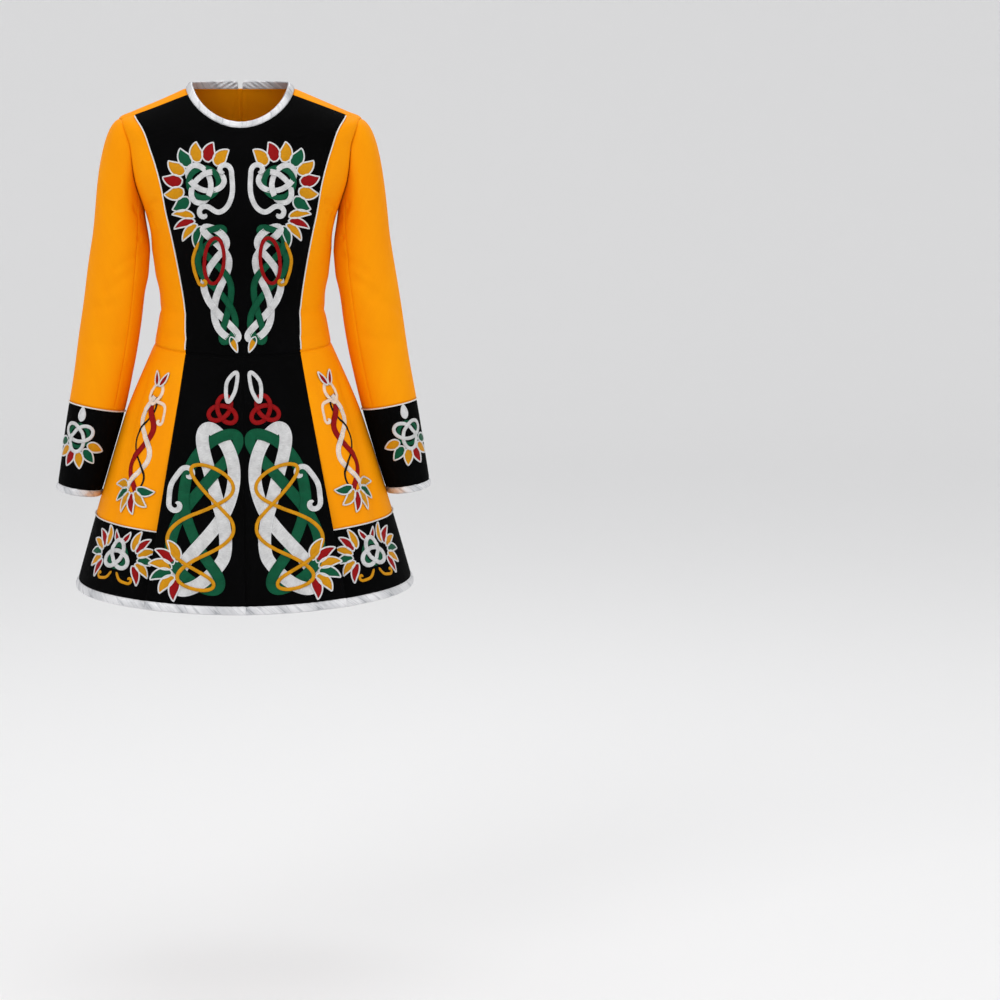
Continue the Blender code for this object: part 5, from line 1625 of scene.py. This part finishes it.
def tabOutline(inset):  # narrow at the pin and round at its end, moved inwards
    sizes = zipSizes
    middle, neckHalf = sizes["tabLength"] - sizes["tabEnd"], sizes["knuckleWidth"] / 2
    lean = math.asin((sizes["tabEnd"] - neckHalf) / middle)
    turn = np.linspace(-lean, math.pi + lean, sizes["endPoints"])
    radius = sizes["tabEnd"] - inset
    rim = np.stack((radius * np.cos(turn), middle + radius * np.sin(turn)), axis=-1)
    top = max(neckHalf - inset, sizes["neckLeast"])
    return np.concatenate(([(-top, 3 * inset), (top, 3 * inset)], rim))


def makeZip():
    sizes = zipSizes
    slider = [roundBox(sizes["body"], sizes["bodyCentre"], sizes["bodyBevel"])]
    for side in (-1, 1):
        centre = np.array(sizes["lugCentre"]) * (side, 1, 1)
        slider.append(roundBox(sizes["lug"], centre, sizes["lugBevel"]))
    half, core, pin = sizes["lugCentre"][0] + sizes["lug"][0] / 2, sizes["pinCore"], sizes["pin"]
    slider.append(turnedRing([(-half, core), (half, core), (half, pin), (-half, pin)], sizes["pinSides"]))
    points, faces = joined(slider)
    makePiece("zipSlider", zipPlace(points), faces, points[:, :2], zipMetal, ["zip_slider"])

    rings = []
    for inset, height in tabProfile:
        rim = tabOutline(inset)
        rings.append(np.concatenate((rim, np.full((len(rim), 1), height)), axis=1))
    under = [level * (1, 1, -1) for level in rings[:0:-1]]
    grid = np.stack(under + rings)
    count = grid.shape[1]
    faces = gridFaces(len(grid), count, closed=True).tolist()
    faces += [list(range(count))[::-1], list(range((len(grid) - 1) * count, len(grid) * count))]
    tilt = sizes["tabTilt"]
    plate = grid.reshape(-1, 3) @ np.array([(1, 0, 0), (0, math.cos(tilt), -math.sin(tilt)),
                                            (0, math.sin(tilt), math.cos(tilt))])
    wide, radius, bore = sizes["knuckleWidth"] / 2, sizes["knuckle"], sizes["bore"]
    bevel = sizes["knuckleBevel"]
    knuckle = turnedRing([(-wide, bore), (wide, bore), (wide, radius - bevel), (wide - bevel, radius),
                          (bevel - wide, radius), (-wide, radius - bevel)], sizes["knuckleSides"])
    points, faces = joined([(plate, faces), knuckle])
    makePiece("zipPullTab", zipPlace(points), faces, points[:, :2], zipEnamel, ["zip_pull_tab"],
              body="pull_tab")

    rises = np.linspace(1.0, 0.3, sizes["linePoints"])
    line, out = onRing(bodice, rises, math.pi)
    length = arcs(line, 0)
    teeth = []
    for number, place in enumerate(np.arange(sizes["coilTop"], sizes["coilBottom"], sizes["pitch"])):
        centre, normal = readLine(line, length, place), readLine(out, length, place)
        side = 1 if number % 2 else -1
        box, quads = roundBox(sizes["tooth"], (side * sizes["toothAside"], 0, 0), sizes["toothBevel"])
        axes = np.array([(1.0, 0.0, 0.0), np.cross(normal, (1.0, 0.0, 0.0)), normal])
        teeth.append((centre - normal * sizes["sunk"] + box @ axes, quads))
    points, faces = joined(teeth)
    makePiece("zipCoil", points, faces, points[:, [0, 2]], zipMetal)


makeZip()
print("zip ready")


# stitches: short bars whose ends dive into the cloth

stitchSizes = {"pitch": 0.0032, "length": 0.0024, "radius": 0.00020, "proud": 0.00010, "sides": 4,
               "stations": (-0.5, -0.32, 0.32, 0.5), "fromEnd": 0.6, "sunk": 1.5, "topRise": 0.985,
               "lowRise": 0.50, "linePoints": 300}


def stitchRow(points, normals):
    sizes = stitchSizes
    length, fromEnd, pitch = arcs(points, 0), sizes["fromEnd"], sizes["pitch"]
    starts = np.arange(fromEnd, length[-1] / pitch - fromEnd)[:, None] * pitch
    stations = starts + sizes["length"] * np.array(sizes["stations"])
    centre, out = readLine(points, length, stations), unit(readLine(normals, length, stations))
    across = unit(np.cross(np.gradient(centre, axis=1), out))
    radius, sides = sizes["radius"], sizes["sides"]
    height = np.array([-sizes["sunk"] * radius, sizes["proud"], sizes["proud"], -sizes["sunk"] * radius])
    turn = np.arange(sides) * 2 * math.pi / sides
    bars = (centre + out * height[:, None])[:, :, None] + radius * (
        np.cos(turn)[:, None] * out[:, :, None] + np.sin(turn)[:, None] * across[:, :, None])
    faces = gridFaces(len(height), sides, closed=True)
    every = np.arange(len(bars))[:, None, None] * len(height) * sides + faces
    return bars.reshape(-1, 3), every.reshape(-1, 4).tolist()


def makeStitches():
    rises = np.linspace(stitchSizes["topRise"], stitchSizes["lowRise"], stitchSizes["linePoints"])
    for side in (1, -1):
        angle = side * (math.pi - bodiceSizes["stitchAt"] / bodice.at("back", rises))
        base, normals = onRing(bodice, rises, angle)
        line = raised(base, normals, placket(bodiceSizes["stitchAt"]))
        stitchLines["yellow"].append((line, normals))
    for colour, finish in (("silver", silverThread), ("yellow", yellowThread)):
        points, faces = joined([stitchRow(*line) for line in stitchLines[colour]])
        makePiece("stitches." + colour, points, faces, points[:, [0, 2]], finish)


makeStitches()
print("stitches ready")


# every piece of cloth, how it is held and what goes with it: a table, and a walk over it that gathers each
# piece with the pieces on it

clothHeld = (
    # start of the pieces' names, how they are held, what they hang from or lie on, start of the names of
    # the pieces on them
    ("bodiceFront", "stretched", ("bodiceBack",), ("neckBinding", "bodiceWork")),
    ("bodiceSideFront", "stretched", ("bodiceFront",), ("bodicePiping",)),
    ("bodiceBack", "hung", ("bodiceFront",), ("zipSlider", "zipCoil", "stitches")),
    ("sleeveTop", "hung", ("bodiceBack",), ()),
    ("sleeveUnder", "hung", ("sleeveTop",), ()),
    ("cuff", "hung", ("sleeveTop",), ("cuffBinding", "cuffPiping", "cuffFrontWork", "cuffBackWork")),
    ("skirtFront", "hung", ("bodiceFront",), ("hemBindingFront", "skirtWork")),
    ("skirtSideFront", "hung", ("bodiceSideFront",), ("sideWork",)),
    ("skirtSideBack", "hung", ("bodiceBack",), ()),
    ("skirtBack", "hung", ("bodiceBack",), ()),
    ("hemBandSideFront", "hung", ("skirtSideFront",),
     ("hemBindingSideFront", "bandPipingSideFront", "bandFrontWork")),
    ("hemBandSideBack", "hung", ("skirtSideBack",),
     ("hemBindingSideBack", "bandPipingSideBack", "bandBackWork")),
    ("hemBandBack", "hung", ("skirtBack",), ("hemBindingBack", "bandPipingBack", "hemBackWork")),
    ("shawlCentre", "laid", ("bodiceBack",), ("shawlWork",)),
    ("shawlBorder", "laid", ("bodiceBack",), ("shawlBinding",)),
    ("shawlNeckBorder", "laid", ("bodiceBack",), ()),
)


def piecesOf(starts, word):  # the pieces with these names: this side's, or the ones that have no side
    return [name for name in madeObjects for start in starts
            if name in (start, start + "." + word) or (start == "stitches" and name.startswith(start))]


def declareCloth():
    used = set()
    for start, held, below, ons in clothHeld:
        for _, word in bothSides:
            for name in piecesOf((start,), word):
                if name in used:
                    continue
                used.add(name)
                extras = [other for other in piecesOf(ons, word) if other not in used]
                if "." not in name:
                    others = piecesOf(ons, "right")
                    extras += [other for other in others if other not in used and other not in extras]
                used.update(extras)


declareCloth()


# the stage: floor, lights and camera

stageSizes = {"floor": -1.455, "behind": 10.0, "front": -16.0, "side": 45.0, "bend": 3.0, "top": 9.0,
              "bendPoints": 24}


def wallCurve(low, high):
    # places along one way across the room and the height there: a wall, a quarter circle, the floor and
    # back up
    turn = np.linspace(0, math.pi / 2, stageSizes["bendPoints"])
    inwards = stageSizes["bend"] * (1 - np.sin(turn))
    rise = stageSizes["bend"] * (1 - np.cos(turn))
    place = np.concatenate(([low], (low + inwards)[::-1], high - inwards, [high]))
    return place, np.concatenate(([stageSizes["top"]], rise[::-1], rise, [stageSizes["top"]]))


def makeStage():  # a wide floor that curves up into a wall on each of its four sides
    x, sideRise = wallCurve(-stageSizes["side"], stageSizes["side"])
    y, endRise = wallCurve(stageSizes["front"], stageSizes["behind"])
    z = stageSizes["floor"] + np.maximum(sideRise[None], endRise[:, None])
    grid = np.stack(np.broadcast_arrays(x[None], y[:, None], z), axis=-1)
    mesh = bpy.data.meshes.new("studioFloor")
    mesh.from_pydata(grid.reshape(-1, 3).tolist(), [], gridFaces(len(y), len(x)).tolist())
    mesh.shade_smooth()
    floor = bpy.data.objects.new("studioFloor", mesh)
    bpy.context.scene.collection.objects.link(floor)
    finish = Finish("studioPaper")
    finish.put(baseColor=(0.90, 0.90, 0.90, 1), roughness=0.9, specular=0.1)
    mesh.materials.append(finish.material)


def areaLight(name, place, target, size, power):
    light = bpy.data.lights.new(name, "AREA")
    light.shape, light.size, light.energy = "SQUARE", size, power
    item = bpy.data.objects.new(name, light)
    bpy.context.scene.collection.objects.link(item)
    item.location = place
    aim = np.array(target) - np.array(place)
    item.rotation_euler = Vector(aim).to_track_quat("-Z", "Y").to_euler()


cameraSizes = {"place": (0.0, -5.0, 0.0), "yaw": 4.71, "tilt": 7.51, "lens": 112.5, "sensor": 36.0}


def makeCamera():
    camera = bpy.data.cameras.new("camera")
    camera.lens, camera.sensor_width = cameraSizes["lens"], cameraSizes["sensor"]
    item = bpy.data.objects.new("camera", camera)
    bpy.context.scene.collection.objects.link(item)
    item.location = cameraSizes["place"]
    item.rotation_euler = (math.radians(90 - cameraSizes["tilt"]), 0, math.radians(-cameraSizes["yaw"]))
    bpy.context.scene.camera = item


lightTable = (
    # light, place, target, size, power
    ("keyLight", (-2.6, -3.6, 2.6), (0, 0, -0.4), 2.4, 50),
    ("fillLight", (3.2, -3.2, 1.2), (0, 0, -0.4), 2.6, 26),
    ("topLight", (0.0, -0.6, 3.2), (0, 0, -0.4), 2.2, 20),
    ("backLight", (0.6, 2.4, 2.4), (0, 0, -0.2), 2.0, 20),
)
airColour, airStrength = (0.97, 0.97, 0.98, 1), 0.80

makeStage()
for row in lightTable:
    areaLight(*row)
makeCamera()
world = bpy.data.worlds.new("studioAir")
bpy.context.scene.world = world
bpy.context.scene.view_settings.view_transform = "Standard"
world.use_nodes = True
background = world.node_tree.nodes["Background"]
background.inputs[0].default_value, background.inputs[1].default_value = airColour, airStrength
print("stage ready")
